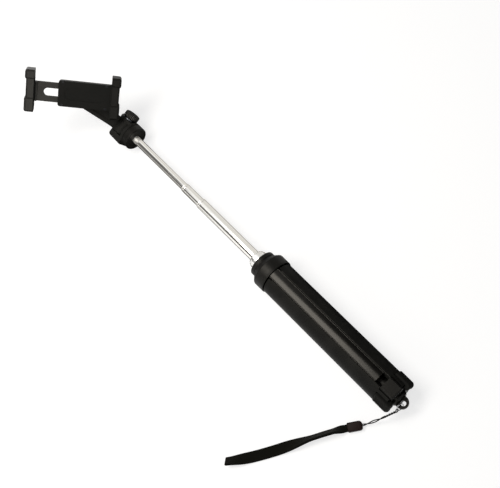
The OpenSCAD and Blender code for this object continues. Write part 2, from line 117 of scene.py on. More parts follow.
@dataclass(frozen=True)
class Places:
    """Where the sub-assemblies stand, in millimetres and degrees, as the part's source sets them."""

    axis: tuple[float, float, float] = (-51.8, -16.0, 18.0)
    hinge_x: float = 212.8
    head_pan: float = -19.0
    head_tilt: float = 43.6
    arm_len: float = 60.0
    clamp_turn: float = 30.3
    leg_angles: tuple[float, float, float] = (150.0, 30.0, 270.0)

    def stick(self) -> Matrix:
        """Return the matrix from the rod axis, in millimetres, to the frame in metres."""
        return Matrix.Scale(MM, 4) @ Matrix.Translation(self.axis)

    def table(self) -> Matrix:
        """Return the matrix from the rod axis's foot on the table to the frame."""
        return Matrix.Scale(MM, 4) @ Matrix.Translation((self.axis[0], self.axis[1], 0.0))

    def leg(self, angle: float) -> Matrix:
        """Return the matrix of a leg whose outward direction is its local z.

        Args:
            angle: Place of the leg round the rod axis, in degrees from +Y.

        Returns:
            Matrix from leg millimetres to frame metres.
        """
        return self.stick() @ Matrix.Rotation(math.radians(angle - 90), 4, "X")

    def head(self) -> Matrix:
        """Return the matrix of the panned head, whose origin is on the tilt hinge."""
        turn = Matrix.Rotation(math.radians(self.head_pan), 4, "X")
        return self.stick() @ Matrix.Translation((self.hinge_x, 0, 0)) @ turn

    def clamp(self) -> Matrix:
        """Place the clamp, with x across the jaws and z out of its grip side.

        Returns:
            Matrix from clamp millimetres to frame metres.
        """
        tilt = Matrix.Rotation(math.radians(-self.head_tilt), 4, "Y")
        swivel = Matrix.Rotation(math.radians(self.clamp_turn), 4, "Z")
        return self.head() @ tilt @ Matrix.Translation((self.arm_len, 0, 0)) @ swivel


PLACES = Places()


class NodeSheet:
    """A node tree with short calls to add nodes and join them."""

    def __init__(self, tree: bpy.types.NodeTree) -> None:
        """Keep the tree and clear it."""
        self.tree = tree
        tree.nodes.clear()

    def add(self, kind: str, **values: object) -> bpy.types.Node:
        """Add a node.

        Args:
            kind: Blender's node type.
            values: Properties of the node, or input sockets by name with _ for a space.

        Returns:
            The new node.
        """
        node = self.tree.nodes.new(kind)
        for name, value in values.items():
            if hasattr(node, name):
                setattr(node, name, value)
            else:
                node.inputs[name.replace("_", " ")].default_value = value
        return node

    def join(self, source: object, target: Socket) -> None:
        """Link an output socket to an input, or set a plain value there.

        Args:
            source: The output socket, or the value.
            target: The input socket.
        """
        if isinstance(source, Socket):
            self.tree.links.new(source, target)
        else:
            target.default_value = source

    def math(self, operation: str, *values: object) -> Socket:
        """Add a Math node.

        Args:
            operation: The operation's name.
            values: Its plain values or output sockets, in order.

        Returns:
            The result's socket.
        """
        node = self.add("ShaderNodeMath", operation=operation)
        for value, socket in zip(values, node.inputs):
            self.join(value, socket)
        return node.outputs[0]

    def step(self, source: Socket, rise: Point, ends: Point = (0.0, 1.0)) -> Socket:
        """Add a smooth step.

        Args:
            source: Output socket of the value that is followed.
            rise: Values between which the step rises.
            ends: Results below and above them.

        Returns:
            The result's socket.
        """
        node = self.add(
            "ShaderNodeMapRange",
            interpolation_type="SMOOTHSTEP",
            From_Min=rise[0],
            From_Max=rise[1],
            To_Min=ends[0],
            To_Max=ends[1],
        )
        self.join(source, node.inputs["Value"])
        return node.outputs[0]

    def noise(self, place: Socket, scale: object, **values: float) -> Socket:
        """Add a noise texture.

        Args:
            place: Output socket of the coordinates.
            scale: Its scale, or the output socket that gives it.
            values: Its other inputs, by name.

        Returns:
            The socket of the noise's value.
        """
        node = self.add("ShaderNodeTexNoise", **values)
        self.join(place, node.inputs["Vector"])
        self.join(scale, node.inputs["Scale"])
        return node.outputs[0]

    def seen(self) -> Socket:
        """Pick out the rays that show a surface: straight, off a bright face or through a clear one.

        Returns:
            A socket that is 1 for such a ray and 0 for any other.
        """
        rays = self.add("ShaderNodeLightPath")
        seen = self.math("MAXIMUM", rays.outputs["Is Camera Ray"], rays.outputs["Is Glossy Ray"])
        return self.math("MAXIMUM", seen, rays.outputs["Is Transmission Ray"])

    def mix(self, share: Socket, first: bpy.types.Node, second: bpy.types.Node) -> bpy.types.Node:
        """Mix two shaders.

        Args:
            share: Output socket of the second shader's share.
            first: First shader's node.
            second: Second shader's node.

        Returns:
            The mix's node.
        """
        node = self.add("ShaderNodeMixShader")
        for source, target in zip((share, first.outputs[0], second.outputs[0]), node.inputs):
            self.join(source, target)
        return node


class Effects:
    """Shared shader groups, each built once."""

    @staticmethod
    def _group(
        name: str, inputs: dict[str, float], outputs: Sequence[str]
    ) -> tuple[NodeSheet, bpy.types.Node, bpy.types.Node]:
        """Start a group.

        Args:
            name: Name of the group.
            inputs: Value inputs and their defaults.
            outputs: Names of the value outputs.

        Returns:
            The sheet, the group's input node and its output node.
        """
        tree = bpy.data.node_groups.new(name, "ShaderNodeTree")
        tree.interface.new_socket("Vector", in_out="INPUT", socket_type="NodeSocketVector")
        for key, value in inputs.items():
            socket = tree.interface.new_socket(key, in_out="INPUT", socket_type="NodeSocketFloat")
            socket.default_value = value
        for key in outputs:
            tree.interface.new_socket(key, in_out="OUTPUT", socket_type="NodeSocketFloat")
        sheet = NodeSheet(tree)
        return sheet, sheet.add("NodeGroupInput"), sheet.add("NodeGroupOutput")

    @staticmethod
    @cache
    def mould_grain() -> bpy.types.NodeTree:
        """Make the fine spark-eroded grain of moulded plastic, with soft handling marks.

        Returns:
            The group.
        """
        sheet, given, out = Effects._group("MouldGrain", {"Grain": 2600.0, "Marks": 55.0}, ("Height", "Wear"))
        place = given.outputs["Vector"]
        grain = sheet.noise(place, given.outputs["Grain"], Detail=3.0, Roughness=0.6)
        marks = sheet.noise(place, given.outputs["Marks"], Detail=5.0, Roughness=0.62)
        sheet.join(grain, out.inputs["Height"])
        sheet.join(sheet.step(marks, (0.36, 0.68)), out.inputs["Wear"])
        return sheet.tree

    @staticmethod
    @cache
    def drawn_lines() -> bpy.types.NodeTree:
        """Make the hairlines that drawing leaves along a tube, with faint smudges.

        Returns:
            The group.
        """
        inputs = {"Lines": 5200.0, "Smudge": 38.0}
        sheet, given, out = Effects._group("DrawnLines", inputs, ("Height", "Smudge"))
        place = given.outputs["Vector"]
        stretch = sheet.add("ShaderNodeMapping", Scale=(0.012, 1.0, 1.0))
        sheet.join(place, stretch.inputs["Vector"])
        lines = sheet.noise(stretch.outputs[0], given.outputs["Lines"], Detail=4.0, Roughness=0.7)
        sheet.join(lines, out.inputs["Height"])
        smudge = sheet.noise(place, given.outputs["Smudge"], Detail=6.0, Roughness=0.65, Distortion=0.4)
        sheet.join(sheet.step(smudge, (0.45, 0.72)), out.inputs["Smudge"])
        return sheet.tree

    @staticmethod
    @cache
    def seam_highlight() -> bpy.types.NodeTree:
        """Make a mask of the handle's long edges for a painted highlight, which makes the plastic lighter and
        smoother there, patchy along its length.

        Returns:
            The group.
        """
        sheet, given, out = Effects._group("SeamHighlight", {"Edge": 20.0, "Spread": 0.7}, ("Mask",))
        place = given.outputs["Vector"]
        parts = sheet.add("ShaderNodeSeparateXYZ")
        sheet.join(place, parts.inputs[0])
        side = sheet.math("SUBTRACT", parts.outputs[1], PLACES.axis[1] * MM)
        rise = sheet.math("SUBTRACT", parts.outputs[2], PLACES.axis[2] * MM)
        turn = sheet.math("DEGREES", sheet.math("ARCTAN2", side, rise))
        fold = sheet.math("ABSOLUTE", sheet.math("WRAP", turn, 60.0, -60.0))
        off = sheet.math("ABSOLUTE", sheet.math("SUBTRACT", fold, given.outputs["Edge"]))
        near = sheet.math("SUBTRACT", 1.0, sheet.math("DIVIDE", off, given.outputs["Spread"]))
        near.node.use_clamp = True
        patch = sheet.noise(place, 90.0, Detail=4.0)
        # painted highlight along the seams, broken up by noise
        wear_and_highlight = sheet.math("MULTIPLY", near, sheet.math("ADD", patch, 0.35))
        sheet.join(wear_and_highlight, out.inputs["Mask"])
        return sheet.tree

    @staticmethod
    @cache
    def thread_weave() -> bpy.types.NodeTree:
        """Make the ribbed weave of webbing, on a surface map in millimetres, with painted shade: its hollows
        darker and its ridges lighter, under random fuzz.

        Returns:
            The group.
        """
        sheet, given, out = Effects._group("ThreadWeave", {"Pitch": 0.62}, ("Height", "Shade"))
        place = given.outputs["Vector"]
        parts = sheet.add("ShaderNodeSeparateXYZ")
        sheet.join(place, parts.inputs[0])
        turns = sheet.math("DIVIDE", FULL_TURN, given.outputs["Pitch"])
        along = sheet.math("MULTIPLY", parts.outputs[1], turns)
        across = sheet.math("MULTIPLY", parts.outputs[0], turns)
        warp = sheet.math("SINE", sheet.math("ADD", along, across))
        weft = sheet.math("SINE", sheet.math("SUBTRACT", along, sheet.math("MULTIPLY", across, 0.5)))
        height = sheet.math("ADD", sheet.math("MULTIPLY", warp, 0.5), sheet.math("MULTIPLY", weft, 0.3))
        sheet.join(height, out.inputs["Height"])
        fuzz = sheet.noise(place, 3.5, Detail=4.0)
        # painted shade: the weave's hollows darker, its ridges lighter
        shade = sheet.math("MULTIPLY_ADD", height, 0.35, 0.5)
        mixed = sheet.math("MULTIPLY", shade, sheet.math("ADD", fuzz, 0.4))
        sheet.join(mixed, out.inputs["Shade"])
        return sheet.tree


@dataclass(frozen=True)
class Finish:
    """A surface finish: base colour in linear light and the shader's plain settings."""

    name: str
    color: Color
    roughness: float
    metallic: float = 0.0
    ior: float = 1.45
    specular: float = 0.5
    # tint: colour where the mask is full: wear marks and smudges, a painted highlight on the seam finishes,
    # and the lighter ridges of the weave's painted shade
    tint: Color = (0.03, 0.03, 0.03)
    gleam: Color = (1.0, 0.96, 0.88)
    rough_span: float = 0.12
    bump: float = 0.1
    depth: float = 0.00002

    def material(self) -> bpy.types.Material:
        """Build the material, on first use.

        Returns:
            The material of this name.
        """
        found = bpy.data.materials.get(self.name)
        if found:
            return found
        made = bpy.data.materials.new(self.name)
        made.use_nodes = True
        sheet = NodeSheet(made.node_tree)
        out = sheet.add("ShaderNodeOutputMaterial")
        shader = sheet.add(
            "ShaderNodeBsdfPrincipled",
            Metallic=self.metallic,
            IOR=self.ior,
            Specular_IOR_Level=self.specular,
            Specular_Tint=(*self.gleam, 1.0),
        )
        sheet.join(shader.outputs[0], out.inputs[0])
        height, mask = self.pattern(sheet)
        # base colour goes to the tint along the mask: wear and smudges, with painted highlight and painted
        # shade on some finishes
        blend = sheet.add("ShaderNodeMix", data_type="RGBA")
        blend.inputs[6].default_value = (*self.color, 1.0)
        blend.inputs[7].default_value = (*self.tint, 1.0)
        sheet.join(mask, blend.inputs[0])
        sheet.join(blend.outputs[2], shader.inputs["Base Color"])
        wear_and_highlight = self.roughness + self.rough_span
        rough = sheet.add("ShaderNodeMapRange", To_Min=self.roughness, To_Max=wear_and_highlight)
        sheet.join(mask, rough.inputs["Value"])
        sheet.join(rough.outputs[0], shader.inputs["Roughness"])
        bump = sheet.add("ShaderNodeBump", Strength=self.bump, Distance=self.depth)
        sheet.join(height, bump.inputs["Height"])
        sheet.join(bump.outputs[0], shader.inputs["Normal"])
        self.extras(shader)
        return made

    def _effect(
        self, sheet: NodeSheet, tree: bpy.types.NodeTree, source: str, values: dict[str, float]
    ) -> bpy.types.Node:
        """Place a shared group.

        Args:
            sheet: The material's sheet.
            tree: The group.
            source: Output of the texture coordinate node that the group reads.
            values: The group's own values here.

        Returns:
            The group's node.
        """
        node = sheet.add("ShaderNodeGroup", node_tree=tree)
        place = sheet.add("ShaderNodeTexCoord")
        sheet.join(place.outputs[source], node.inputs["Vector"])
        for key, value in values.items():
            node.inputs[key].default_value = value
        return node

    def pattern(self, sheet: NodeSheet) -> tuple[Socket, Socket]:
        """Return the height and mask sockets of a moulded surface."""
        node = self._effect(sheet, Effects.mould_grain(), "Object", {})
        return node.outputs["Height"], node.outputs["Wear"]

    def extras(self, shader: bpy.types.Node) -> None:
        """Set what only some finishes have."""

    def dress(self, obj: bpy.types.Object) -> None:
        """Give an object this finish alone."""
        obj.data.materials.clear()
        obj.data.materials.append(self.material())


@dataclass(frozen=True)
class SeamHighlighted(Finish):
    """Moulded plastic with a painted highlight along its long edges, which are lighter and smoother there."""

    edge: float = 20.0
    spread: float = 0.7
    marks: float = 0.08

    def pattern(self, sheet: NodeSheet) -> tuple[Socket, Socket]:
        """Lay the painted seam highlight over the moulded grain and its wear marks.

        Args:
            sheet: The material's sheet.

        Returns:
            The height and mask sockets.
        """
        height, wear = super().pattern(sheet)
        node = self._effect(sheet, Effects.seam_highlight(), "Object", {"Edge": self.edge, "Spread": self.spread})
        # mask: faint wear marks and the painted seam highlight
        return height, sheet.math("MAXIMUM", sheet.math("MULTIPLY", wear, self.marks), node.outputs["Mask"])


@dataclass(frozen=True)
class DrawnMetal(Finish):
    """Bright metal with hairlines along the stick."""

    lines: float = 5200.0
    smudge: float = 0.15
    satin: Point | None = None

    def pattern(self, sheet: NodeSheet) -> tuple[Socket, Socket]:
        """Draw the hairlines and smudges, and dull the surface along the stick where that is asked for.

        Args:
            sheet: The material's sheet.

        Returns:
            The height and mask sockets.
        """
        node = self._effect(sheet, Effects.drawn_lines(), "Object", {"Lines": self.lines})
        if self.satin is None:
            return node.outputs["Height"], node.outputs["Smudge"]
        place = sheet.add("ShaderNodeTexCoord")
        parts = sheet.add("ShaderNodeSeparateXYZ")
        sheet.join(place.outputs["Object"], parts.inputs[0])
        dull = sheet.step(parts.outputs[0], self.satin)
        smudge = sheet.math("MULTIPLY", node.outputs["Smudge"], self.smudge)
        return node.outputs["Height"], sheet.math("MAXIMUM", smudge, dull)


@dataclass(frozen=True)
class Woven(Finish):
    """Woven polyester on the piece's own surface map."""

    pitch: float = 0.62
    sheen: float = 0.04
    sheen_roughness: float = 0.5

    def pattern(self, sheet: NodeSheet) -> tuple[Socket, Socket]:
        """Return the weave's height, and its mask of painted shade in the hollows with random fuzz."""
        node = self._effect(sheet, Effects.thread_weave(), "UV", {"Pitch": self.pitch})
        return node.outputs["Height"], node.outputs["Shade"]

    def extras(self, shader: bpy.types.Node) -> None:
        """Add the soft sheen of fine fibres."""
        shader.inputs["Sheen Weight"].default_value = self.sheen
        shader.inputs["Sheen Roughness"].default_value = self.sheen_roughness


SATIN = Finish(
    "satin_black", (0.0044, 0.0044, 0.0039), 0.33, ior=1.42, specular=0.2, tint=(0.0075, 0.0072, 0.0066)
)
JAW = replace(SATIN, name="jaw_black", roughness=0.3, specular=0.42)
KNOB = replace(SATIN, name="knob_black", roughness=0.24, specular=0.38)
MATTE = Finish(
    "matte_black", (0.0096, 0.0098, 0.0091), 0.48, ior=1.42, specular=0.1,
    tint=(0.0125, 0.0125, 0.0115), bump=0.2,
)
CHARCOAL = replace(
    MATTE, name="charcoal_block", color=(0.0125, 0.0125, 0.0114), roughness=0.5, tint=(0.0165, 0.0163, 0.015)
)
# The grip, tail block and strip take their tint in faint wear marks and as a painted highlight along the leg
# seams.
GRIP = SeamHighlighted(
    "grip_black", (0.0068, 0.0069, 0.0064), 0.48, ior=1.42, specular=0.1,
    tint=(0.06, 0.058, 0.053), rough_span=-0.1, bump=0.2, edge=21.3, spread=0.8,
)
BLOCK = SeamHighlighted(
    "tail_black", (0.0046, 0.0045, 0.0041), 0.36, ior=1.42, specular=0.16,
    tint=(0.035, 0.034, 0.031), rough_span=-0.08, edge=19.4, spread=1.1,
)
GLOSS = SeamHighlighted(
    "strip_black", (0.0035, 0.0033, 0.003), 0.22, specular=0.26,
    tint=(0.035, 0.033, 0.03), rough_span=0.05, bump=0.004, edge=19.0, spread=0.6,
)
BUSH = Finish("bush_grey", (0.03, 0.03, 0.032), 0.5, tint=(0.045, 0.045, 0.047))
RUBBER = Finish(
    "sole_rubber", (0.0085, 0.0087, 0.0082), 0.66, ior=1.42, specular=0.1,
    tint=(0.0135, 0.0135, 0.0125), bump=0.45, depth=0.00004,
)
CHROME = DrawnMetal(
    "bright_rod", (0.88, 0.865, 0.83), 0.09, 1.0,
    tint=(0.84, 0.825, 0.79), rough_span=0.36, bump=0.03, depth=0.00001,
)
FERRULE = DrawnMetal(
    "turned_ferrule", (0.86, 0.855, 0.84), 0.16, 1.0,
    tint=(0.8, 0.795, 0.78), rough_span=0.08, bump=0.04, depth=0.00001,
)
TUBE = DrawnMetal("drawn_tube", (0.55, 0.55, 0.56), 0.3, 1.0, tint=(0.48, 0.48, 0.49), bump=0.08)
PLATED = DrawnMetal(
    "plated_steel", (0.5, 0.51, 0.53), 0.26, 1.0, tint=(0.4, 0.41, 0.43), bump=0.05, lines=2600.0
)
WASHER = replace(PLATED, name="washer_steel", color=(0.11, 0.115, 0.127), tint=(0.085, 0.09, 0.1))
OXIDE = replace(
    PLATED, name="black_oxide", color=(0.018, 0.018, 0.019), roughness=0.34, tint=(0.03, 0.03, 0.032)
)
# The webbing's and cord's tint is the lighter colour of the weave's ridges, against painted shade in its
# hollows.
WEBBING = Woven(
    "strap_webbing", (0.0025, 0.0026, 0.0017), 0.8, specular=0.07,
    tint=(0.0075, 0.0076, 0.0054), bump=0.6, depth=0.00012,
)
THREAD = Woven(
    "cord_thread", (0.006, 0.006, 0.006), 0.62, specular=0.15, bump=0.5, depth=0.00008, pitch=0.5
)
SLIDER = Finish(
    "slider_maroon", (0.0062, 0.0018, 0.0017), 0.38, specular=0.1, tint=(0.0095, 0.003, 0.0028), bump=0.2
)


class Stock:
    """A bmesh in local millimetres that operators shape before it is set in place."""

    def __init__(self) -> None:
        """Start with an empty mesh."""
        self.bm = bmesh.new()

    @classmethod
    def copied(cls, node: bpy.types.Object) -> "Stock":
        """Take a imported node's mesh with its loose triangles merged into faces.

        Args:
            node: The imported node, which stays as it is.

        Returns:
            A stock in frame millimetres.
        """
        stock = cls()
        stock.bm.from_mesh(node.data)
        bmesh.ops.scale(stock.bm, vec=(1 / MM, 1 / MM, 1 / MM), verts=stock.bm.verts)
        verts, edges = stock.bm.verts, stock.bm.edges
        bmesh.ops.remove_doubles(stock.bm, verts=verts, dist=COPY_MERGE)
        bmesh.ops.dissolve_limit(stock.bm, angle_limit=FLAT_ANGLE, verts=verts, edges=edges)
        return stock

    def turned(self, profile: Sequence[Point], steps: int = 128) -> "Stock":
        """Spin an outline round the x axis.

        Args:
            profile: Pairs of radius and x, in order; a tube's outline ends where it starts.
            steps: Facets round the axis.

        Returns:
            This stock.
        """
        verts = [self.bm.verts.new((x, 0.0, r)) for r, x in held(profile)]
        edges = [self.bm.edges.new(pair) for pair in zip(verts, verts[1:])]
        bmesh.ops.spin(
            self.bm,
            geom=verts + edges,
            cent=(0, 0, 0),
            axis=(1, 0, 0),
            angle=FULL_TURN,
            steps=steps,
            use_merge=True,
        )
        return self.clean()

    def plate(self, outline: Sequence[Point], z0: float, z1: float) -> list[bmesh.types.BMVert]:
        """Extrude a flat outline along z.

        Args:
            outline: Corner points in x and y, in order.
            z0: Level of the first face.
            z1: Level of the second face.

        Returns:
            The new vertices.
        """
        base = [self.bm.verts.new((x, y, z0)) for x, y in outline]
        face = self.bm.faces.new(base)
        grown = bmesh.ops.extrude_face_region(self.bm, geom=[face], use_keep_orig=True)["geom"]
        top = [g for g in grown if isinstance(g, bmesh.types.BMVert)]
        bmesh.ops.translate(self.bm, verts=top, vec=(0, 0, z1 - z0))
        return base + top

    def swept(
        self, across: int, along: int, shape: Callable[[float, float], Vector], girth: float, length: float
    ) -> "Stock":
        """Bend a grid into a closed band along a route, with a surface map in millimetres.

        Args:
            across: Faces round the section.
            along: Faces along the route.
            shape: Point of the surface for shares of the section and of the route.
            girth: Length round the section.
            length: Length of the route.

        Returns:
            This stock.
        """
        layer = self.bm.loops.layers.uv.new("Surface")
        bmesh.ops.create_grid(self.bm, x_segments=across, y_segments=along, size=0.5, calc_uvs=True)
        for face in self.bm.faces:
            for loop in face.loops:
                spot = loop.vert.co
                loop[layer].uv = ((spot.x + 0.5) * girth, (spot.y + 0.5) * length)
        for vert in self.bm.verts:
            vert.co = shape(vert.co.x + 0.5, vert.co.y + 0.5)
        bmesh.ops.remove_doubles(self.bm, verts=self.bm.verts, dist=MERGE)
        self.cap()
        bmesh.ops.recalc_face_normals(self.bm, faces=self.bm.faces)
        return self

    def cap(self) -> None:
        """Close every open rim."""
        rims = [e for e in self.bm.edges if e.is_boundary]
        bmesh.ops.holes_fill(self.bm, edges=rims, sides=0)

    def clean(self) -> "Stock":
        """Merge doubles, drop faces without area and turn every face outwards.

        Returns:
            This stock.
        """
        bmesh.ops.remove_doubles(self.bm, verts=self.bm.verts, dist=MERGE)
        bmesh.ops.dissolve_degenerate(self.bm, edges=self.bm.edges, dist=MERGE)
        bmesh.ops.recalc_face_normals(self.bm, faces=self.bm.faces)
        return self

    def soften(self, width: float, limit: float = 28.0, segments: int = 2) -> "Stock":
        """Round every edge that is sharper than a limit.

        Args:
            width: Width of the rounding.
            limit: Least angle between the faces, in degrees.
            segments: Facets across the rounding.

        Returns:
            This stock.
        """
        sharp = [e for e in self.bm.edges if e.is_manifold and math.degrees(e.calc_face_angle(0)) > limit]
        bmesh.ops.bevel(
            self.bm,
            geom=sharp,
            offset=width,
            affect="EDGES",
            segments=segments,
            profile=0.5,
            material=-1,
            clamp_overlap=True,
        )
        return self

    def place(self, matrix: Matrix) -> "Stock":
        """Set the mesh in the frame."""
        bmesh.ops.transform(self.bm, matrix=matrix, verts=self.bm.verts)
        return self

    def piece(self, name: str, smooth: float = 32.0) -> bpy.types.Object:
        """Make the object and let the bmesh go.

        Args:
            name: Name of the piece.
            smooth: Edges flatter than this angle shade smoothly, in degrees.

        Returns:
            The new object, at the origin.
        """
        for face in self.bm.faces:
            face.smooth = True
        for edge in self.bm.edges:
            edge.smooth = not edge.is_manifold or math.degrees(edge.calc_face_angle(0)) < smooth
        mesh = bpy.data.meshes.new(name)
        self.bm.to_mesh(mesh)
        self.bm.free()
        obj = bpy.data.objects.new(name, mesh)
        bpy.context.scene.collection.objects.link(obj)
        return obj


def arc(cx: float, cy: float, r: float, start: float, end: float, count: int) -> list[Point]:
    """Return points along an arc.

    Args:
        cx: Centre's first coordinate.
        cy: Centre's second coordinate.
        r: Radius.
        start: First angle, in degrees.
        end: Last angle, in degrees.
        count: Number of steps.

    Returns:
        The points, ends included.
    """
    angles = (math.radians(start + (end - start) * i / count) for i in range(count + 1))
    return [(cx + r * math.cos(a), cy + r * math.sin(a)) for a in angles]


def held(profile: Sequence[Point], margin: float = 0.12) -> list[Point]:
    """Return an outline whose long sides have a point near each end, so that they shade flat.

    Args:
        profile: Points, in order.
        margin: Distance of the new points from the ends.

    Returns:
        The points with the new ones between them.
    """
    points = [profile[0]]
    for (a0, b0), (a1, b1) in zip(profile, profile[1:]):
        length = math.hypot(a1 - a0, b1 - b0)
        shares = (margin / length, 1 - margin / length) if length > 5 * margin else ()
        points += [(a0 + (a1 - a0) * t, b0 + (b1 - b0) * t) for t in shares]
        points.append((a1, b1))
    return points


def rounded(w: float, h: float, r: float, count: int = 5) -> list[Point]:
    """Return the outline of a centred rectangle with round corners.

    Args:
        w: Size along the first axis.
        h: Size along the second axis.
        r: Corner radius.
        count: Steps in each corner.

    Returns:
        The points, anticlockwise.
    """
    x, y = w / 2 - r, h / 2 - r
    corners = ((x, y, 0), (-x, y, 90), (-x, -y, 180), (x, -y, 270))
    return [p for cx, cy, a in corners for p in arc(cx, cy, r, a, a + 90, count)]


def fit(obj: bpy.types.Object, body: Body, slot: Slot, finish: Finish, *nodes: str) -> bpy.types.Object:
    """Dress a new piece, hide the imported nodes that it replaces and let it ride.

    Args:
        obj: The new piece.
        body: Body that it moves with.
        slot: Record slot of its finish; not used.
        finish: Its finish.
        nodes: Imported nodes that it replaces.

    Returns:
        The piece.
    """
    finish.dress(obj)
    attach(obj, body.value)
    if nodes:
        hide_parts(*nodes)
    LOG.info("%s rides on %s", obj.name, body.value)
    return obj


@dataclass
class Telescope:
    """The three drawn rods and the ferrule that guides them."""

    wall: float = 0.4
    run: float = 0.075
    chamfer: float = 0.1
    radii: tuple[float, float, float] = (5.4, 4.7, 4.0)
    lower_span: Point = (-60.0, 89.0)
    middle_span: Point = (-24.0, 113.5)
    upper_span: Point = (66.0, 197.4)
    plug: float = 1.8
    lip_r: float = 0.26
    shoulder: float = 1.4
    groove: float = 3.0
    groove_depth: float = 0.09
    satin_lip: float = 1.7
    satin_lip_run: float = 0.4
    satin_end: float = 182.0
    satin_run: float = 8.0
    satin_rough: float = 0.45
    guide_r: float = 6.26
    guide_foot: float = -14.0
    flange: float = -2.1
    flange_r: float = 9.3
    flange_end: float = 4.5
    flange_round: float = 0.35
    step_r: float = 8.5
    step_end: float = 6.3
    step_round: float = 0.4
    front: float = 7.85
    front_r: float = 7.2
    front_round: float = 0.5
    mouth_r: float = 6.2

    def finish(self, name: str, start: float, ramp: float) -> DrawnMetal:
        """Return the rods' finish, dull towards the rod's end.

        Args:
            name: Name of the rod.
            start: Place along the stick where it starts to dull.
            ramp: Length over which it dulls.

        Returns:
            The finish.
        """
        first = start + PLACES.axis[0]
        return replace(CHROME, name=f"bright_{name}", satin=(first * MM, (first + ramp) * MM))

    def rod(self, r: float, span: Point, mouth: float) -> Stock:
        """Turn a tube whose mouth is rolled in.

        Args:
            r: Outer radius.
            span: First and last x.
            mouth: Radius of the mouth.

        Returns:
            The tube.
        """
        x0, x1 = span
        bore = r - self.wall
        middle = x1 - self.groove
        profile = [(bore, x0), (r - self.chamfer, x0), (r, x0 + self.chamfer), (r, middle - 0.3)]
        profile += [(r - self.groove_depth, middle - 0.15), (r - self.groove_depth, middle + 0.15)]
        profile += [(r, middle + 0.3), (r, x1 - 1.5), *arc(bore, x1 - self.shoulder, self.wall, 15, 55, 4)]
        profile += [*arc(mouth + self.lip_r, x1 - self.lip_r, self.lip_r, 20, 90, 5), (mouth, x1 - 0.1)]
        profile += [(mouth, middle), (bore, middle - 0.6), (bore, x0)]
        return Stock().turned(profile)

    def build(self) -> None:
        """Make the rods and the ferrule."""
        low, mid, top = self.radii
        rods = (
            ("rod_lower", low, self.lower_span, mid + self.run, Body.LOWER, "lower_rod"),
            ("rod_middle", mid, self.middle_span, top + self.run, Body.MIDDLE, "middle_rod"),
        )
        for name, r, span, mouth, body, node in rods:
            piece = self.rod(r, span, mouth).place(PLACES.stick()).piece(name)
            finish = self.finish(name, span[1] - self.satin_lip, self.satin_lip_run)
            fit(piece, body, Slot.BRIGHT, finish, node)
        self.top_rod(top)
        self.ferrule()

    def top_rod(self, r: float) -> None:
        """Turn the upper rod, which a plug closes in the head, and dull its end.

        Args:
            r: Outer radius.
        """
        x0, x1 = self.upper_span
        bore, foot = r - self.wall, x1 - self.plug
        outline = [(bore, x0), (r - self.chamfer, x0), (r, x0 + self.chamfer), (r, x1), (0.0, x1)]
        upper = Stock().turned([*outline, (0.0, foot), (bore, foot), (bore, x0)])
        finish = self.finish("rod_upper", self.satin_end, self.satin_run)
        finish = replace(finish, rough_span=self.satin_rough)
        fit(upper.place(PLACES.stick()).piece("rod_upper"), Body.UPPER, Slot.BRIGHT, finish, "upper_rod")

    def ferrule(self) -> None:
        """Make the stepped ferrule with its rounded shoulders."""
        bore = self.radii[0] + self.run
        foot, seat, flange, step = self.guide_foot, self.flange, self.flange_r, self.step_r
        outline = [(bore, foot), (self.guide_r, foot), (self.guide_r, seat), (flange, seat)]
        outline += [(flange, self.flange_end - 0.2)]
        outline += arc(flange - self.flange_round, self.flange_end, self.flange_round, 0, 75, 4)
        end = self.step_end
        outline += [(step + 0.05, end - 1.15), (step, end - 0.9), (step, end - 0.2)]
        outline += arc(step - self.step_round, end, self.step_round, 0, 35, 3)
        outline += [(self.front_r + 0.55, self.front - 0.55)]
        outline += arc(self.front_r, self.front - self.front_round, self.front_round, 25, 90, 4)
        outline += [(self.mouth_r, self.front), (bore + 0.15, self.front - 0.55), (bore, self.front - 0.85)]
        outline += [(bore, foot)]
        piece = Stock().turned(outline).place(PLACES.stick()).piece("ferrule_ring")
        fit(piece, Body.HANDLE, Slot.BRIGHT, FERRULE, "ferrule")


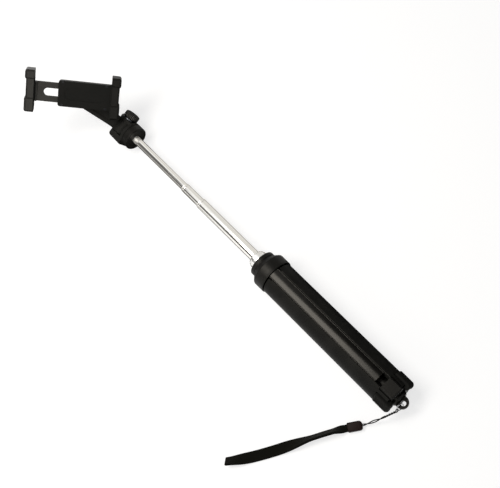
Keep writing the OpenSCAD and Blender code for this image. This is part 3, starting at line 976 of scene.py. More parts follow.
@dataclass
class Collar:
    """Nose ring, flare and skirt at the handle's front, with the legs' hinge ears."""

    nose: float = 13.5
    nose_round: float = 1.4
    nose_end: float = -4.0
    neck: float = 0.35
    flare_end: float = -9.3
    skirt: float = 18.0
    shoulder: float = -10.75
    shoulder_round: float = 1.6
    line: float = 1.9
    line_depth: float = 0.14
    lip_round: float = 0.5
    wall: float = 1.5
    end: float = -21.4
    hub: float = -14.0
    bore: float = 7.4
    seat: float = -2.2
    seat_r: float = 9.4
    seat_bevel: float = 0.25
    pin_x: float = -23.4
    pin_r: float = 11.4
    ear_r: float = 2.2
    ear_half: float = 0.9
    ear_sides: Point = (-4.0, 4.0)

    def build(self) -> None:
        """Make the turned shell and its ears in one piece."""
        nose, skirt, end = self.nose, self.skirt, self.end
        neck, ring = nose - self.neck, self.nose_end
        low, line = skirt - self.line_depth, end + self.line
        inside = skirt - self.wall
        outline = [(self.bore, self.hub), (self.bore, self.seat), (self.seat_r, self.seat)]
        outline += [(self.seat_r, -self.seat_bevel), (self.seat_r + self.seat_bevel, 0.0)]
        outline += arc(nose - self.nose_round, -self.nose_round, self.nose_round, 90, 0, 8)
        outline += [(nose, ring), (nose - 0.1, ring - 0.3), (neck, ring - 0.6), (neck, ring - 1.0)]
        outline += [(skirt - 0.75, self.flare_end)]
        outline += arc(skirt - self.shoulder_round, self.shoulder, self.shoulder_round, 60, 0, 7)
        outline += [(skirt, line), (low, line - 0.2), (low, line - 0.55), (skirt, line - 0.75)]
        outline += arc(skirt - self.lip_round, end + self.lip_round, self.lip_round, 0, -90, 4)
        outline += [(skirt - 1.0, end), (inside, end + 0.6), (inside, self.hub - 1.2)]
        outline += [(inside - 1.1, self.hub), (self.bore, self.hub)]
        stock = Stock().turned(outline, 160)
        for angle in PLACES.leg_angles:
            for side in self.ear_sides:
                self.ear(stock, angle, side)
        fit(stock.place(PLACES.stick()).piece("collar_shell"), Body.HANDLE, Slot.PLASTIC, SATIN, "collar")

    def ear(self, stock: Stock, angle: float, side: float) -> None:
        """Add one hinge ear.

        Args:
            stock: The collar, on the rod's axes.
            angle: Place of the leg round the rod.
            side: Middle of the ear across the leg.
        """
        root, top = self.hub + 0.4, self.pin_r + 0.8
        tip = arc(self.pin_x, self.pin_r, self.ear_r, 90, 270, 14)
        outline = [(root, top), (self.pin_x + 2.05, top), *tip, (root, self.pin_r - self.ear_r)]
        verts = stock.plate(outline, -self.ear_half, self.ear_half)
        turn = Matrix.Rotation(math.radians(angle - 90), 4, "X")
        bmesh.ops.transform(stock.bm, matrix=turn @ Matrix.Translation((0, side, 0)) @ STAND_UP, verts=verts)
        bmesh.ops.recalc_face_normals(stock.bm, faces=list({f for v in verts for f in v.link_faces}))


@dataclass
class Head:
    """Base disc on the upper rod, the clevis and the fluted knob on the tilt bolt."""

    packed_clevis: bpy.types.Object
    foot: float = 192.0
    radius: float = 12.6
    thick: float = 7.4
    face_round: float = 0.75
    back_round: float = 0.4
    socket_r: float = 4.02
    socket_depth: float = 5.4
    journal_r: float = 4.0
    journal_len: float = 2.4
    screw_r: float = 1.52
    dish: float = 0.45
    dish_r: float = 10.4
    ear_end: float = 14.4
    ear_r: float = 9.3
    ear_round: float = 2.6
    knob_r: float = 7.9
    knob_round: float = 1.1
    knob_side: float = 4.3
    knob_cap: float = 4.5
    knob_foot: float = 1.0
    knob_rows: int = 8
    knob_row: float = 0.4
    knob_seat: float = -11.7
    flutes: int = 30
    flute_depth: float = 0.42

    def build(self) -> None:
        """Make the disc, the knob and the clevis."""
        self.disc()
        self.knob()
        self.clevis()

    def disc(self) -> None:
        """Turn the dished disc with the journal that the head turns on."""
        r, t, rod, screw = self.radius, self.thick, self.socket_r, self.screw_r
        rim, dish, post, top = self.dish_r, self.dish, self.journal_r, t + self.journal_len
        outline = [(rod, dish), (rim - 1.0, dish), (rim - 0.65, 0.35), (rim - 0.3, 0.1), (rim, 0.0)]
        outline += arc(r - self.face_round, self.face_round, self.face_round, -90, 0, 6)
        outline += [(r, t - 0.5), *arc(r - self.back_round, t - self.back_round, self.back_round, 10, 90, 4)]
        outline += [(post, t), (post, top - 0.1), (post - 0.1, top), (screw, top)]
        outline += [(screw, self.socket_depth), (rod, self.socket_depth), (rod, dish)]
        stock = Stock().turned(outline, 144).place(PLACES.stick() @ Matrix.Translation((self.foot, 0, 0)))
        fit(stock.piece("head_disc"), Body.UPPER, Slot.PLASTIC, SATIN, "head_base")

    def clevis(self) -> None:
        """Round off the end of the clevis's far ear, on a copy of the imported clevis."""
        stock = Stock.copied(self.packed_clevis).place(PLACES.head().inverted() @ Matrix.Scale(MM, 4))
        start = self.ear_end - self.ear_round
        for angle in range(0, 90, 15):
            level = start + self.ear_round * math.sin(math.radians(angle))
            geom = stock.bm.verts[:] + stock.bm.edges[:] + stock.bm.faces[:]
            bmesh.ops.bisect_plane(stock.bm, geom=geom, plane_co=(0, level, 0), plane_no=(0, 1, 0))
        for vert in stock.bm.verts:
            x, y, z = vert.co
            share = min(1.0, (y - start) / self.ear_round)
            if x > 0 and share > 0:
                limit = self.ear_r - self.ear_round * (1 - math.sqrt(1 - share * share))
                pull = min(1.0, limit / math.hypot(x, z))
                vert.co = (x * pull, y, z * pull)
        fit(stock.place(PLACES.head()).piece("clevis_block"), Body.HEAD, Slot.PLASTIC, CHARCOAL, "clevis")

    def knob(self) -> None:
        """Turn the knob and press its flutes in."""
        r, foot = self.knob_r, self.knob_foot
        outline = [(0.0, 0.0), (r - 1.2, 0.0), (r - 0.3, foot / 2), (r - 0.02, foot - 0.2)]
        outline += [(r, foot + self.knob_row * i) for i in range(self.knob_rows + 1)]
        outline += arc(r - self.knob_round, self.knob_side, self.knob_round, 5, 90, 8)
        outline += [(r - 1.9, self.knob_cap + 0.8), (r - 2.4, self.knob_cap + 0.4), (0.0, self.knob_cap)]
        stock = Stock().turned(outline, self.flutes * 8)
        for vert in stock.bm.verts:
            x, y, z = vert.co
            reach = math.hypot(y, z)
            outside = min(1.0, max(0.0, (reach - (r - 0.9)) / 0.5))
            above = min(1.0, max(0.0, (x - 0.4) / 0.6))
            wave = 0.5 + 0.5 * math.cos(self.flutes * math.atan2(z, y))
            if outside * above > 0:
                share = 1 - self.flute_depth * outside * above * wave**1.6 / reach
                vert.co = (x, y * share, z * share)
        lay = Matrix.Rotation(-math.pi / 2, 4, "Z")
        stock.place(PLACES.head() @ Matrix.Translation((0, self.knob_seat, 0)) @ lay)
        fit(stock.piece("knob_fluted", 50), Body.KNOB, Slot.PLASTIC, KNOB, "tilt_knob")


@dataclass
class Soles:
    """Rubber soles on the legs' ends, with tread grooves and a rounded heel."""

    front: float = -164.0
    back: float = -181.0
    inner: float = 11.6
    outer: float = 18.0
    half: float = 5.2
    heel_r: float = 3.4
    inner_r: float = 2.0
    edge_r: float = 0.9
    pockets: int = 5
    margin: float = 1.3
    rib: float = 0.4
    pocket_depth: float = 0.35

    def build(self) -> None:
        """Make one sole for each leg."""
        for number, angle in enumerate(PLACES.leg_angles, 1):
            stock = Stock()
            outline = [(self.front, self.inner), (self.front, self.outer)]
            outline += arc(self.back + self.heel_r, self.outer - self.heel_r, self.heel_r, 90, 180, 10)
            outline += arc(self.back + self.inner_r, self.inner + self.inner_r, self.inner_r, 180, 270, 6)
            stock.plate(outline, -self.half, self.half)
            stock.clean().soften(self.edge_r, 40, 3)
            self.tread(stock)
            piece = stock.place(PLACES.leg(angle) @ STAND_UP).piece(f"sole_{number}")
            fit(piece, Body(f"leg_{number}"), Slot.RUBBER, RUBBER, f"foot_{number}")

    def tread(self, stock: Stock) -> None:
        """Press a row of shallow pockets into the outer face, inside a plain border.

        Args:
            stock: The sole, with x along the leg and y outwards.
        """
        bm = stock.bm
        bm.normal_update()
        face = max((f for f in bm.faces if f.normal.y > 0.99), key=lambda f: f.calc_area())
        bmesh.ops.inset_region(bm, faces=[face], thickness=self.margin, use_even_offset=True)
        marks = [v.co.x for v in face.verts]
        first, last = min(marks), max(marks)
        cells = [face]
        for i in range(1, self.pockets):
            where = first + (last - first) * i / self.pockets
            geom = [*cells, *{e for f in cells for e in f.edges}, *{v for f in cells for v in f.verts}]
            cut = bmesh.ops.bisect_plane(bm, geom=geom, plane_co=(where, 0, 0), plane_no=(1, 0, 0))
            cells = [g for g in cut["geom"] if isinstance(g, bmesh.types.BMFace)]
        bmesh.ops.inset_individual(bm, faces=cells, thickness=self.rib, depth=-self.pocket_depth)


@dataclass
class JawPads:
    """Ribbed rubber pads that grip from both jaws."""

    fixed: float = -36.3
    moving: float = 39.1
    level: float = 9.3
    height: float = 5.4
    half: float = 14.8
    depth: float = 0.8
    ribs: int = 4
    valley: float = 0.3
    slope: float = 0.38
    gap: float = 0.02
    edge: float = 0.16

    def build(self) -> None:
        """Make both pads."""
        self.pad("pad_fixed", self.fixed, 1.0, Body.CLAMP, "fixed_pad")
        self.pad("pad_sliding", self.moving, -1.0, Body.JAW, "sliding_pad")

    def pad(self, name: str, where: float, side: float, body: Body, node: str) -> None:
        """Extrude a ribbed outline along the jaw.

        Args:
            name: Name of the piece.
            where: Middle of the pad across the jaws.
            side: 1 where it grips towards +x, -1 where towards -x.
            body: Body that it rides on.
            node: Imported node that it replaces.
        """
        pitch = self.height / self.ribs
        rib = (
            (self.valley, self.gap),
            (self.depth, self.slope),
            (self.depth, pitch - self.slope),
            (self.valley, pitch - self.gap),
        )
        outline = [(-self.depth, 0.0), (-self.depth, self.height)]
        outline += [(p, self.height - i * pitch - drop) for i in range(self.ribs) for p, drop in rib]
        stock = Stock()
        stock.plate([(where + side * p, n) for p, n in outline], -self.half, self.half)
        lift = Matrix.Translation((0, 0, self.level))
        stock.clean().soften(self.edge).place(PLACES.clamp() @ lift @ STAND_UP)
        fit(stock.piece(name), body, Slot.RUBBER, RUBBER, node)


@dataclass
class WristStrap:
    """Split ring, twisted cord, slider and doubled webbing, laid on the table."""

    ring_at: Vector = spot(-184.7, 4.9, 18.0)
    ring_r: float = 3.5
    ring_foot: float = -0.28
    ring_rise: float = 0.58
    ring_turns: float = 1.9
    ring_steps: int = 150
    wire: float = 0.27
    lean: float = -68.0
    slider_at: Vector = spot(-166.8, 43.8, 2.85)
    slider_turn: float = 56.5
    slider_size: tuple[float, float, float] = (13.4, 8.4, 5.7)
    nose_r: float = 2.8
    edge_r: float = 0.9
    panel_rim: float = 0.55
    panel_depth: float = 0.22
    mouth_rim: float = 0.35
    mouth_depth: float = 3.0
    cord_from: Vector = spot(-185.0, 9.6, 17.4)
    cord_over: Vector = spot(-181.0, 18.6, 13.2)
    cord_inlet: float = 4.4
    cord_run: float = 11.0
    cord_points: int = 60
    cord_steps: int = 150
    loop_r: float = 1.0
    loop_steps: int = 14
    strand: float = 0.5
    strand_sides: int = 10
    slack: float = 0.3
    gather: float = 4.0
    closing: float = 3.0
    lead: float = 1.5
    pitch: float = 5.0
    loose_pitch: float = 26.0
    tight: float = 0.36
    web_outlet: float = 3.2
    web_run: float = 30.0
    web_by: Vector = spot(-131.5, 118.0, 0.0)
    web_end: Vector = spot(-109.0, 147.6, 0.0)
    web_steps: int = 300
    fold_steps: int = 8
    web_w: float = 10.0
    web_gathered: float = 6.6
    web_widens: float = 40.0
    web_grip: float = 0.06
    web_lift: float = 0.08
    web_lands: Point = (0.02, 0.06)
    start_roll: float = 62.0
    start_leans: Point = (0.01, 0.16)
    start_rights: Point = (0.32, 0.32)
    end_roll: float = 46.0
    end_leans: Point = (0.78, 0.22)
    layer: float = 1.05
    part: float = 0.63
    rib_pitch: float = 1.5
    rib_width: float = 1.6
    rib_height: float = 0.05

    def __post_init__(self) -> None:
        """Work out the routes of the cord and the webbing."""
        turn = math.radians(self.slider_turn)
        heading = Vector((math.cos(turn), math.sin(turn), 0.0))
        inlet = self.slider_at - self.cord_inlet * heading
        self.cord_bend = [self.cord_from, self.cord_over, inlet - self.cord_run * heading, inlet]
        outlet = self.slider_at + self.web_outlet * heading
        self.web_bend = [outlet, outlet + self.web_run * heading, self.web_by, self.web_end]

    @staticmethod
    def bezier(points: Sequence[Vector], t: float) -> Vector:
        """Return a point of a cubic curve.

        Args:
            points: The four control points.
            t: Share of the curve.

        Returns:
            The point.
        """
        s = 1 - t
        return s**3 * points[0] + 3 * s * s * t * points[1] + 3 * s * t * t * points[2] + t**3 * points[3]

    def build(self) -> None:
        self.ring()
        slider = self.slider()
        self.cord()
        self.webbing()

    def ring(self) -> None:
        """Wind the split ring as a flat spring of nearly two turns."""
        stock = Stock()
        made = bmesh.ops.create_circle(stock.bm, cap_ends=False, radius=self.wire, segments=12)
        stand = Matrix.Translation((self.ring_r, 0, self.ring_foot)) @ STAND_UP
        bmesh.ops.transform(stock.bm, matrix=stand, verts=made["verts"])
        bmesh.ops.spin(
            stock.bm,
            geom=stock.bm.verts[:] + stock.bm.edges[:],
            cent=(0, 0, 0),
            axis=(0, 0, 1),
            dvec=(0, 0, self.ring_rise / self.ring_steps),
            angle=FULL_TURN * self.ring_turns,
            steps=self.ring_steps,
        )
        stock.cap()
        lean = Matrix.Rotation(math.radians(self.lean), 4, "Y")
        stock.clean().place(PLACES.table() @ Matrix.Translation(self.ring_at) @ lean)
        fit(stock.piece("split_ring"), Body.HANDLE, Slot.STEEL, PLATED, "strap_ring")

    def slider(self) -> bpy.types.Object:
        """Make the slider, a rounded block with pressed panels and a mouth for the webbing.

        Returns:
            The piece.
        """
        x, y, z = (size / 2 for size in self.slider_size)
        r = self.nose_r
        nose = arc(r - x, y - r, r, 90, 180, 6) + arc(r - x, r - y, r, 180, 270, 6)
        stock = Stock()
        stock.plate([(x, -y), (x, y), *nose], -z, z)
        stock.clean()
        flats = [f for f in stock.bm.faces if abs(f.normal.z) > 0.9]
        mouth = [f for f in stock.bm.faces if f.normal.x > 0.9]
        stock.soften(self.edge_r, 28, 4)
        self.press(stock, flats, self.panel_rim, self.panel_depth)
        self.press(stock, mouth, self.mouth_rim, self.mouth_depth)
        turn = Matrix.Rotation(math.radians(self.slider_turn), 4, "Z")
        stock.place(PLACES.table() @ Matrix.Translation(self.slider_at) @ turn)
        return fit(stock.piece("strap_slide", 40), Body.HANDLE, Slot.SLIDER, SLIDER, "strap_slider")

    @staticmethod
    def press(stock: Stock, faces: Sequence[bmesh.types.BMFace], rim: float, depth: float) -> None:
        """Press flat faces in, inside a rim.

        Args:
            stock: The block.
            faces: The faces.
            rim: Width of the rim.
            depth: How far they go in.
        """
        left = [f for f in faces if f.is_valid]
        bmesh.ops.inset_region(stock.bm, faces=left, thickness=rim, use_even_offset=True)
        for face in left:
            bmesh.ops.translate(stock.bm, verts=face.verts, vec=-depth * face.normal)

    def cord(self) -> None:
        """Lay the cord: one strand looped through the ring and twisted back on itself.
        """
        lean = Matrix.Rotation(math.radians(self.lean), 4, "Y")
        wire = self.ring_at + lean @ Vector((0, self.ring_r, 0))
        tangent = (lean @ Vector((1, 0, 0))).normalized()
        line = [wire + (self.cord_bend[0] - wire) * i / 3 for i in range(3)]
        line += [self.bezier(self.cord_bend, i / self.cord_points) for i in range(self.cord_points + 1)]
        marks = [0.0]
        for a, b in zip(line, line[1:]):
            marks.append(marks[-1] + (b - a).length)
        total = marks[-1]
        heading = (line[3] - line[0]).normalized()
        sides = self.carried(line, heading.cross(tangent).normalized())
        frames = [(point, u, v) for point, (u, v) in zip(line, sides)]

        def at(mark: float, half: float) -> Vector:
            """Find a strand's middle.

            Args:
                mark: Length along the cord.
                half: Where the strand starts round the cord, in radians.

            Returns:
                The point.
            """
            i = min(len(line) - 2, max(k for k, m in enumerate(marks[:-1]) if m <= mark))
            share = (mark - marks[i]) / (marks[i + 1] - marks[i])
            point, u, v = (p.lerp(q, share) for p, q in zip(frames[i], frames[i + 1]))
            near = min(1.0, mark / self.gather)
            knee = self.tight * total
            loose = self.ease((mark - knee) / self.gather) * self.ease((total - mark) / self.closing)
            reach = self.loop_r - (self.loop_r - self.strand) * near + self.slack * loose
            turns = max(0.0, min(mark, knee) - self.lead) / self.pitch
            turns += max(0.0, mark - knee) / self.loose_pitch
            spin = FULL_TURN * turns + half
            return point + reach * (math.cos(spin) * u + math.sin(spin) * v)

        stops = [total * i / self.cord_steps for i in range(self.cord_steps + 1)]
        bends = [math.pi * i / self.loop_steps for i in range(1, self.loop_steps)]
        loop = [wire + math.cos(a) * sides[0][0] - math.sin(a) * heading for a in bends]
        route = [at(m, 0.0) for m in reversed(stops)] + loop + [at(m, math.pi) for m in stops]
        stock = self.tube(route, self.strand, self.strand_sides).place(PLACES.table())
        piece = fit(stock.piece("strap_twist", 60), Body.HANDLE, Slot.WEBBING, THREAD, "strap_cord")
        path = [PLACES.table() @ p for p in line]
        tuple(path[0])
        [tuple(p) for p in path]

    @staticmethod
    def carried(route: Sequence[Vector], side: Vector) -> list[tuple[Vector, Vector]]:
        """Carry a direction along a route without twist.

        Args:
            route: Points of the route.
            side: Direction across its start.

        Returns:
            Two unit vectors across the route, for each of its points.
        """
        last = len(route) - 1
        pairs = []
        for i in range(last + 1):
            ahead = (route[min(i + 1, last)] - route[max(i - 1, 0)]).normalized()
            side = (side - ahead * side.dot(ahead)).normalized()
            pairs.append((side, ahead.cross(side)))
        return pairs

    @staticmethod
    def tube(route: Sequence[Vector], radius: float, sides: int) -> Stock:
        """Sweep a round strand along a route.

        Args:
            route: Points of its middle.
            radius: Its radius.
            sides: Faces round it.

        Returns:
            The strand.
        """
        count = len(route) - 1
        start = (route[1] - route[0]).normalized().orthogonal().normalized()
        frames = WristStrap.carried(route, start)
        length = sum((b - a).length for a, b in zip(route, route[1:]))

        def shape(around: float, share: float) -> Vector:
            """Find a point of the strand's surface.

            Args:
                around: Share of the way round it.
                share: Share of its length.

            Returns:
                The point.
            """
            i = round(share * count)
            angle = FULL_TURN * (round(around * sides) % sides) / sides
            u, v = frames[i]
            return route[i] + radius * (math.cos(angle) * u + math.sin(angle) * v)

        return Stock().swept(sides, count, shape, FULL_TURN * radius, length)

    @staticmethod
    def ease(share: float) -> float:
        """Return a smooth step from 0 to 1."""
        u = min(1.0, max(0.0, share))
        return u * u * (3 - 2 * u)

    def roll(self, t: float) -> float:
        """Lean the webbing about its line, near its start and again towards its fold.

        Args:
            t: Share of its length.

        Returns:
            Its lean in radians.
        """
        spans = (self.start_leans, self.start_rights, self.end_leans)
        leans, rights, ends = (self.ease((t - start) / run) for start, run in spans)
        return math.radians(self.start_roll * leans * (1 - rights) + self.end_roll * ends)

    def width(self, t: float) -> float:
        """Return the webbing's width, which the slider gathers, at a share of its length."""
        return min(self.web_w, self.web_gathered + self.web_widens * max(0.0, t - self.web_grip))

    def station(self, t: float) -> tuple[Vector, Vector, Vector, Vector]:
        """Return the webbing's middle, its heading, its width direction and its normal.

        Args:
            t: Share of its length.

        Returns:
            The point and three unit vectors.
        """
        point = self.bezier(self.web_bend, t)
        ahead = self.bezier(self.web_bend, min(1, t + 0.01)) - self.bezier(self.web_bend, max(0, t - 0.01))
        ahead.z = 0.0
        ahead.normalize()
        flat = Vector((0, 0, 1)).cross(ahead)
        roll = self.roll(t)
        across = math.cos(roll) * flat + math.sin(roll) * ahead.cross(flat)
        thick = 2 * (self.part + self.layer / 2)
        lift = self.web_lift + self.width(t) / 2 * abs(math.sin(roll)) + thick / 2 * abs(math.cos(roll))
        start, run = self.web_lands
        down = min(1.0, max(0.0, t - start) / run)
        point.z = self.slider_at.z * (1 - down) + lift * down
        return point, ahead, across, ahead.cross(across)

    def webbing(self) -> None:
        """Lay the webbing: out, round its fold and back, as one band.
        """
        steps, turn = self.web_steps, self.fold_steps
        stations = [self.station(i / steps) for i in range(steps + 1)]
        half = sum((b[0] - a[0]).length for a, b in zip(stations, stations[1:]))
        section = self._ribbed(rounded(self.web_w, self.layer, self.layer * 0.49, 4))
        count = 2 * steps + turn
        length = 2 * half + math.pi * self.part

        def shape(around: float, share: float) -> Vector:
            """Find a point of the band's surface.

            Args:
                around: Share of the way round its section.
                share: Share of its length.

            Returns:
                The point.
            """
            k = round(share * count)
            j = round(around * len(section)) % len(section)
            i = k if k <= steps else steps - max(0, k - steps - turn)
            angle = math.pi * min(1.0, max(0, k - steps) / turn)
            point, ahead, across, normal = stations[i]
            out = math.cos(angle) * normal + math.sin(angle) * ahead
            wide, thick = section[j]
            if abs(thick) > self.layer * 0.45:
                phase = 0 if round(wide / self.rib_width) % 2 else math.pi
                wave = math.sin(FULL_TURN * k * half / steps / self.rib_pitch + phase)
                thick += math.copysign(self.rib_height * wave, thick)
            return point + (self.part + thick) * out + wide * self.width(i / steps) / self.web_w * across

        girth = 2 * (self.web_w + self.layer)
        stock = Stock().swept(len(section), count, shape, girth, length).place(PLACES.table())
        piece = fit(stock.piece("strap_band", 60), Body.HANDLE, Slot.WEBBING, WEBBING, "strap_web")

    @staticmethod
    def _ribbed(section: Sequence[Point]) -> list[Point]:
        """Return a section with points along its flat sides, for the weave's ribs.

        Args:
            section: Outline of the band.

        Returns:
            The outline with its long sides divided.
        """
        out: list[Point] = []
        for (x0, y0), (x1, y1) in zip(section, [*section[1:], section[0]]):
            parts = max(1, round(math.hypot(x1 - x0, y1 - y0) / 0.5))
            out += [(x0 + (x1 - x0) * i / parts, y0 + (y1 - y0) * i / parts) for i in range(parts)]
        return out


class Housings:
    """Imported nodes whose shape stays, each with its finish."""

    FINISHES: dict[str, Finish] = {
        "spine": GLOSS,
        "tail_cap": BLOCK,
        "column": TUBE,
        "leg_pins": PLATED,
        "leg_1": GRIP,
        "leg_2": GRIP,
        "leg_3": GRIP,
        "lower_bush": BUSH,
        "middle_bush": BUSH,
        "upper_bush": BUSH,
        "pan_screw": PLATED,
        "tilt_nut": PLATED,
        "tilt_washer": WASHER,
        "tilt_bolt": PLATED,
        "tilt_arm": CHARCOAL,
        "swivel_pin": PLATED,
        "clamp_body": SATIN,
        "clamp_cover": MATTE,
        "cover_screws": OXIDE,
        "detent_spring": PLATED,
        "sliding_jaw": JAW,
    }

    def dress(self, nodes: dict[str, bpy.types.Object]) -> None:
        """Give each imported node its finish.

        Args:
            nodes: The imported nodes, by name.
        """
        for name, finish in self.FINISHES.items():
            finish.dress(nodes[name])
            LOG.info("%s keeps its shape", name)


@dataclass(frozen=True)
class Card:
    """A card that only reflections show: where it lies along the stick, and its span across."""

    name: str
    tone: float
    x: Point
    across: Point


# Painted reflections: the narrow and wide cards paint the rods' dark stripe, the low and grey cards grey
# bands, the shade card shade on the strip and the right leg.
BENT_CARDS = (
    Card("narrow_card", 0.14, (0.22, 0.485), (37, 75)),
    Card("wide_card", 0.15, (0.485, 1.3), (1, 70)),
    Card("low_card", 0.4, (0.485, 1.3), (70, 92)),
    Card("grey_card", 0.8, (0.12, 1.3), (-100, -26)),
    Card("shade_card", 0.05, (-0.6, 0.12), (-92, -8)),
)
# Painted reflections from the table: darker edges on the rods, shade on the handle's right edge and on the
# head disc's face.
FLAT_CARDS = (
    Card("edge_card", 0.1, (-0.06, 0.06), (-0.016, 0.0115)),
    Card("floor_card", 0.2, (0.06, 0.32), (-0.016, 0.2)),
    Card("far_card", 0.5, (-0.06, 0.32), (-0.12, -0.016)),
    Card("dim_card", 0.05, (-0.34, -0.06), (-0.3, -0.03)),
    Card("seat_card", 0.03, (0.131, 0.22), (-0.06, 0.03)),
)


@dataclass
class Studio:
    """Camera, pale floor, plain soft light, and glowing cards that paint light and shade into reflections."""

    eye: Vector = spot(-0.3592, 0.0475, 0.8012)
    right: Vector = spot(-0.659, -0.7211, -0.2136)
    up: Vector = spot(0.6456, -0.6881, 0.3313)
    back: Vector = spot(-0.3859, 0.0804, 0.919)
    focal_px: float = 900.0
    sensor: float = 36.0
    key_at: Vector = spot(0.27, 0.34, 1.12)
    key_aim: Vector = spot(0.27, 0.34, 0.0)
    key_size: Point = (0.44, 0.84)
    key_power: float = 9.6
    side_at: Vector = spot(0.1, 1.0, 0.5)
    side_aim: Vector = spot(0.0, 0.0, 0.0)
    side_size: Point = (1.1, 0.7)
    side_power: float = 2.0
    warmth: Color = (1.0, 0.97, 0.925)
    fill: float = 0.16
    floor_half: float = 4.0
    floor_color: float = 0.94
    floor_seen: Point = (0.44, 0.73)
    floor_far: float = 0.94
    floor_fade: Point = (0.45, 1.4)
    axis: Point = (-0.016, 0.018)
    card_color: Color = (1.0, 0.98, 0.94)
    card_reach: float = 0.8
    card_lift: float = 0.0006
    # The glow card paints a highlight into the left jaw's reflection.
    glow_at: Vector = spot(-0.2, 0.4, 0.52)
    glow_aim: Vector = spot(0.222, 0.028, 0.088)
    glow_size: float = 0.14
    glow: float = 3.2

    def build(self) -> None:
        """Set up the camera, the light, the floor and the cards."""
        scene = bpy.context.scene
        scene.view_settings.view_transform = "Standard"
        data = bpy.data.cameras.new("view")
        data.sensor_fit = "HORIZONTAL"
        data.sensor_width = self.sensor
        data.lens = self.focal_px * self.sensor / IMAGE_SIZE[0]
        data.clip_start = 0.01
        camera = bpy.data.objects.new("view", data)
        scene.collection.objects.link(camera)
        turn = Matrix((self.right, self.up, self.back)).transposed().to_quaternion()
        camera.matrix_world = Matrix.Translation(self.eye) @ turn.to_matrix().to_4x4()
        scene.camera = camera
        self.world()
        self.lamp("soft_box", self.key_at, self.key_aim, self.key_size, self.key_power)
        self.lamp("side_box", self.side_at, self.side_aim, self.side_size, self.side_power)
        self.floor()
        self.cards()

    def world(self) -> None:
        """Show white to the camera and to bright metal, and a plain level to the rest."""
        world = bpy.data.worlds.new("white_room")
        world.use_nodes = True
        sheet = NodeSheet(world.node_tree)
        out = sheet.add("ShaderNodeOutputWorld")
        plain = sheet.add("ShaderNodeBackground", Color=(1, 1, 1, 1), Strength=self.fill)
        white = sheet.add("ShaderNodeBackground", Color=(1, 1, 1, 1), Strength=1.0)
        mixed = sheet.mix(sheet.seen(), plain, white)
        sheet.join(mixed.outputs[0], out.inputs[0])
        bpy.context.scene.world = world

    def lamp(self, name: str, at: Vector, aim: Vector, size: Point, power: float) -> None:
        """Hang a soft box.

        Args:
            name: Name of the lamp.
            at: Its middle.
            aim: Point that it faces.
            size: Its two sides.
            power: Its power in watts.
        """
        lamp = bpy.data.lights.new(name, "AREA")
        lamp.shape = "RECTANGLE"
        lamp.size, lamp.size_y = size
        lamp.energy = power
        lamp.color = self.warmth
        obj = bpy.data.objects.new(name, lamp)
        obj.matrix_world = Matrix.Translation(at) @ (at - aim).to_track_quat("Z", "Y").to_matrix().to_4x4()
        bpy.context.scene.collection.objects.link(obj)

    def floor(self) -> None:
        """Lay the pale floor, which reads as white and keeps the shadow."""
        stock = Stock()
        bmesh.ops.create_grid(stock.bm, x_segments=1, y_segments=1, size=self.floor_half)
        floor = stock.piece("floor")
        material = bpy.data.materials.new("pale_floor")
        material.use_nodes = True
        sheet = NodeSheet(material.node_tree)
        out = sheet.add("ShaderNodeOutputMaterial")
        plain = sheet.add("ShaderNodeBsdfDiffuse", Color=(*[self.floor_color] * 3, 1.0))
        shade, glow = self.floor_seen
        shaded = sheet.add("ShaderNodeBsdfDiffuse", Color=(shade, shade, shade, 1.0))
        white = sheet.add("ShaderNodeEmission", Color=(1, 1, 1, 1))
        place = sheet.add("ShaderNodeTexCoord")
        reach = sheet.add("ShaderNodeVectorMath", operation="LENGTH")
        sheet.join(place.outputs["Object"], reach.inputs[0])
        rise = sheet.step(reach.outputs["Value"], self.floor_fade, (glow, self.floor_far))
        sheet.join(rise, white.inputs["Strength"])
        both = sheet.add("ShaderNodeAddShader")
        sheet.join(shaded.outputs[0], both.inputs[0])
        sheet.join(white.outputs[0], both.inputs[1])
        mixed = sheet.mix(sheet.seen(), plain, both)
        sheet.join(mixed.outputs[0], out.inputs[0])
        floor.data.materials.append(material)

    def cards(self) -> None:
        """Bend cards round the stick and lay others on the table, which paint light and shade into the
        reflections.
        """
        for card in BENT_CARDS:
            stock = Stock()
            first, last = card.x
            start, end = card.across
            bend = arc(*self.axis, self.card_reach, 90 - end, 90 - start, 12)
            row = [stock.bm.verts.new((first, y, z)) for y, z in bend]
            edges = [stock.bm.edges.new(pair) for pair in zip(row, row[1:])]
            grown = bmesh.ops.extrude_edge_only(stock.bm, edges=edges)["geom"]
            far = [g for g in grown if isinstance(g, bmesh.types.BMVert)]
            bmesh.ops.translate(stock.bm, verts=far, vec=(last - first, 0, 0))
            self.hang(stock.piece(card.name), card.tone)
        for i, card in enumerate(FLAT_CARDS):
            stock = Stock()
            (x0, x1), (y0, y1) = card.x, card.across
            lift = self.card_lift * (1 + i / 10)
            middle = Matrix.Translation(((x0 + x1) / 2, (y0 + y1) / 2, lift))
            matrix = middle @ Matrix.Diagonal((x1 - x0, y1 - y0, 1, 1))
            bmesh.ops.create_grid(stock.bm, x_segments=1, y_segments=1, size=0.5, matrix=matrix)
            self.hang(stock.piece(card.name), card.tone)
        # bright glowing card: a painted highlight on the left jaw
        stock = Stock()
        bmesh.ops.create_grid(stock.bm, x_segments=1, y_segments=1, size=self.glow_size)
        aim = (self.glow_aim - self.glow_at).to_track_quat("Z", "Y").to_matrix().to_4x4()
        stock.place(Matrix.Translation(self.glow_at) @ aim)
        self.hang(stock.piece("glow_card"), self.glow)

    def hang(self, card: bpy.types.Object, tone: float) -> None:
        """Make a card glow with its tone, seen in reflections only: a low tone paints shade into them and a
        high one paints light.

        Args:
            card: The card.
            tone: Its brightness.
        """
        material = bpy.data.materials.new(card.name)
        material.use_nodes = True
        sheet = NodeSheet(material.node_tree)
        out = sheet.add("ShaderNodeOutputMaterial")
        # the card glows by itself: painted light and shade in reflections
        card_glow = sheet.add("ShaderNodeEmission", Color=(*self.card_color, 1.0), Strength=tone)
        sheet.join(card_glow.outputs[0], out.inputs[0])
        card.data.materials.append(material)
        card.visible_camera = False
        card.visible_diffuse = False
        card.visible_shadow = False


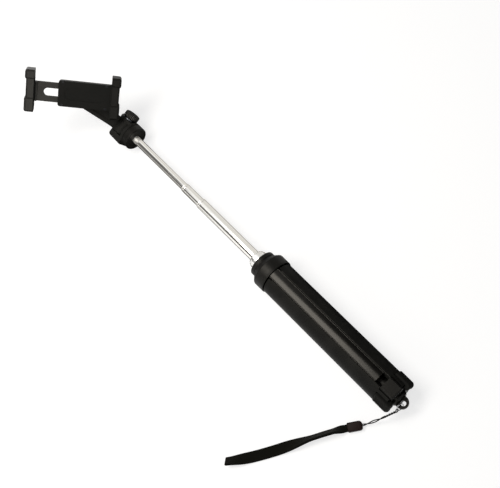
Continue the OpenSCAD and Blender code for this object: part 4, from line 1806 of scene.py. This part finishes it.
def main() -> None:
    """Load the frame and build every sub-assembly."""
    logging.basicConfig(level=logging.INFO, format="%(message)s")
    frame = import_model()
    nodes = frame["nodes"]
    for part in (Studio(), WristStrap(), Telescope(), Collar(), Head(nodes["clevis"]), Soles(), JawPads()):
        part.build()
    Housings().dress(nodes)
    LOG.info("boxes written")


if __name__ == "__main__":
    main()
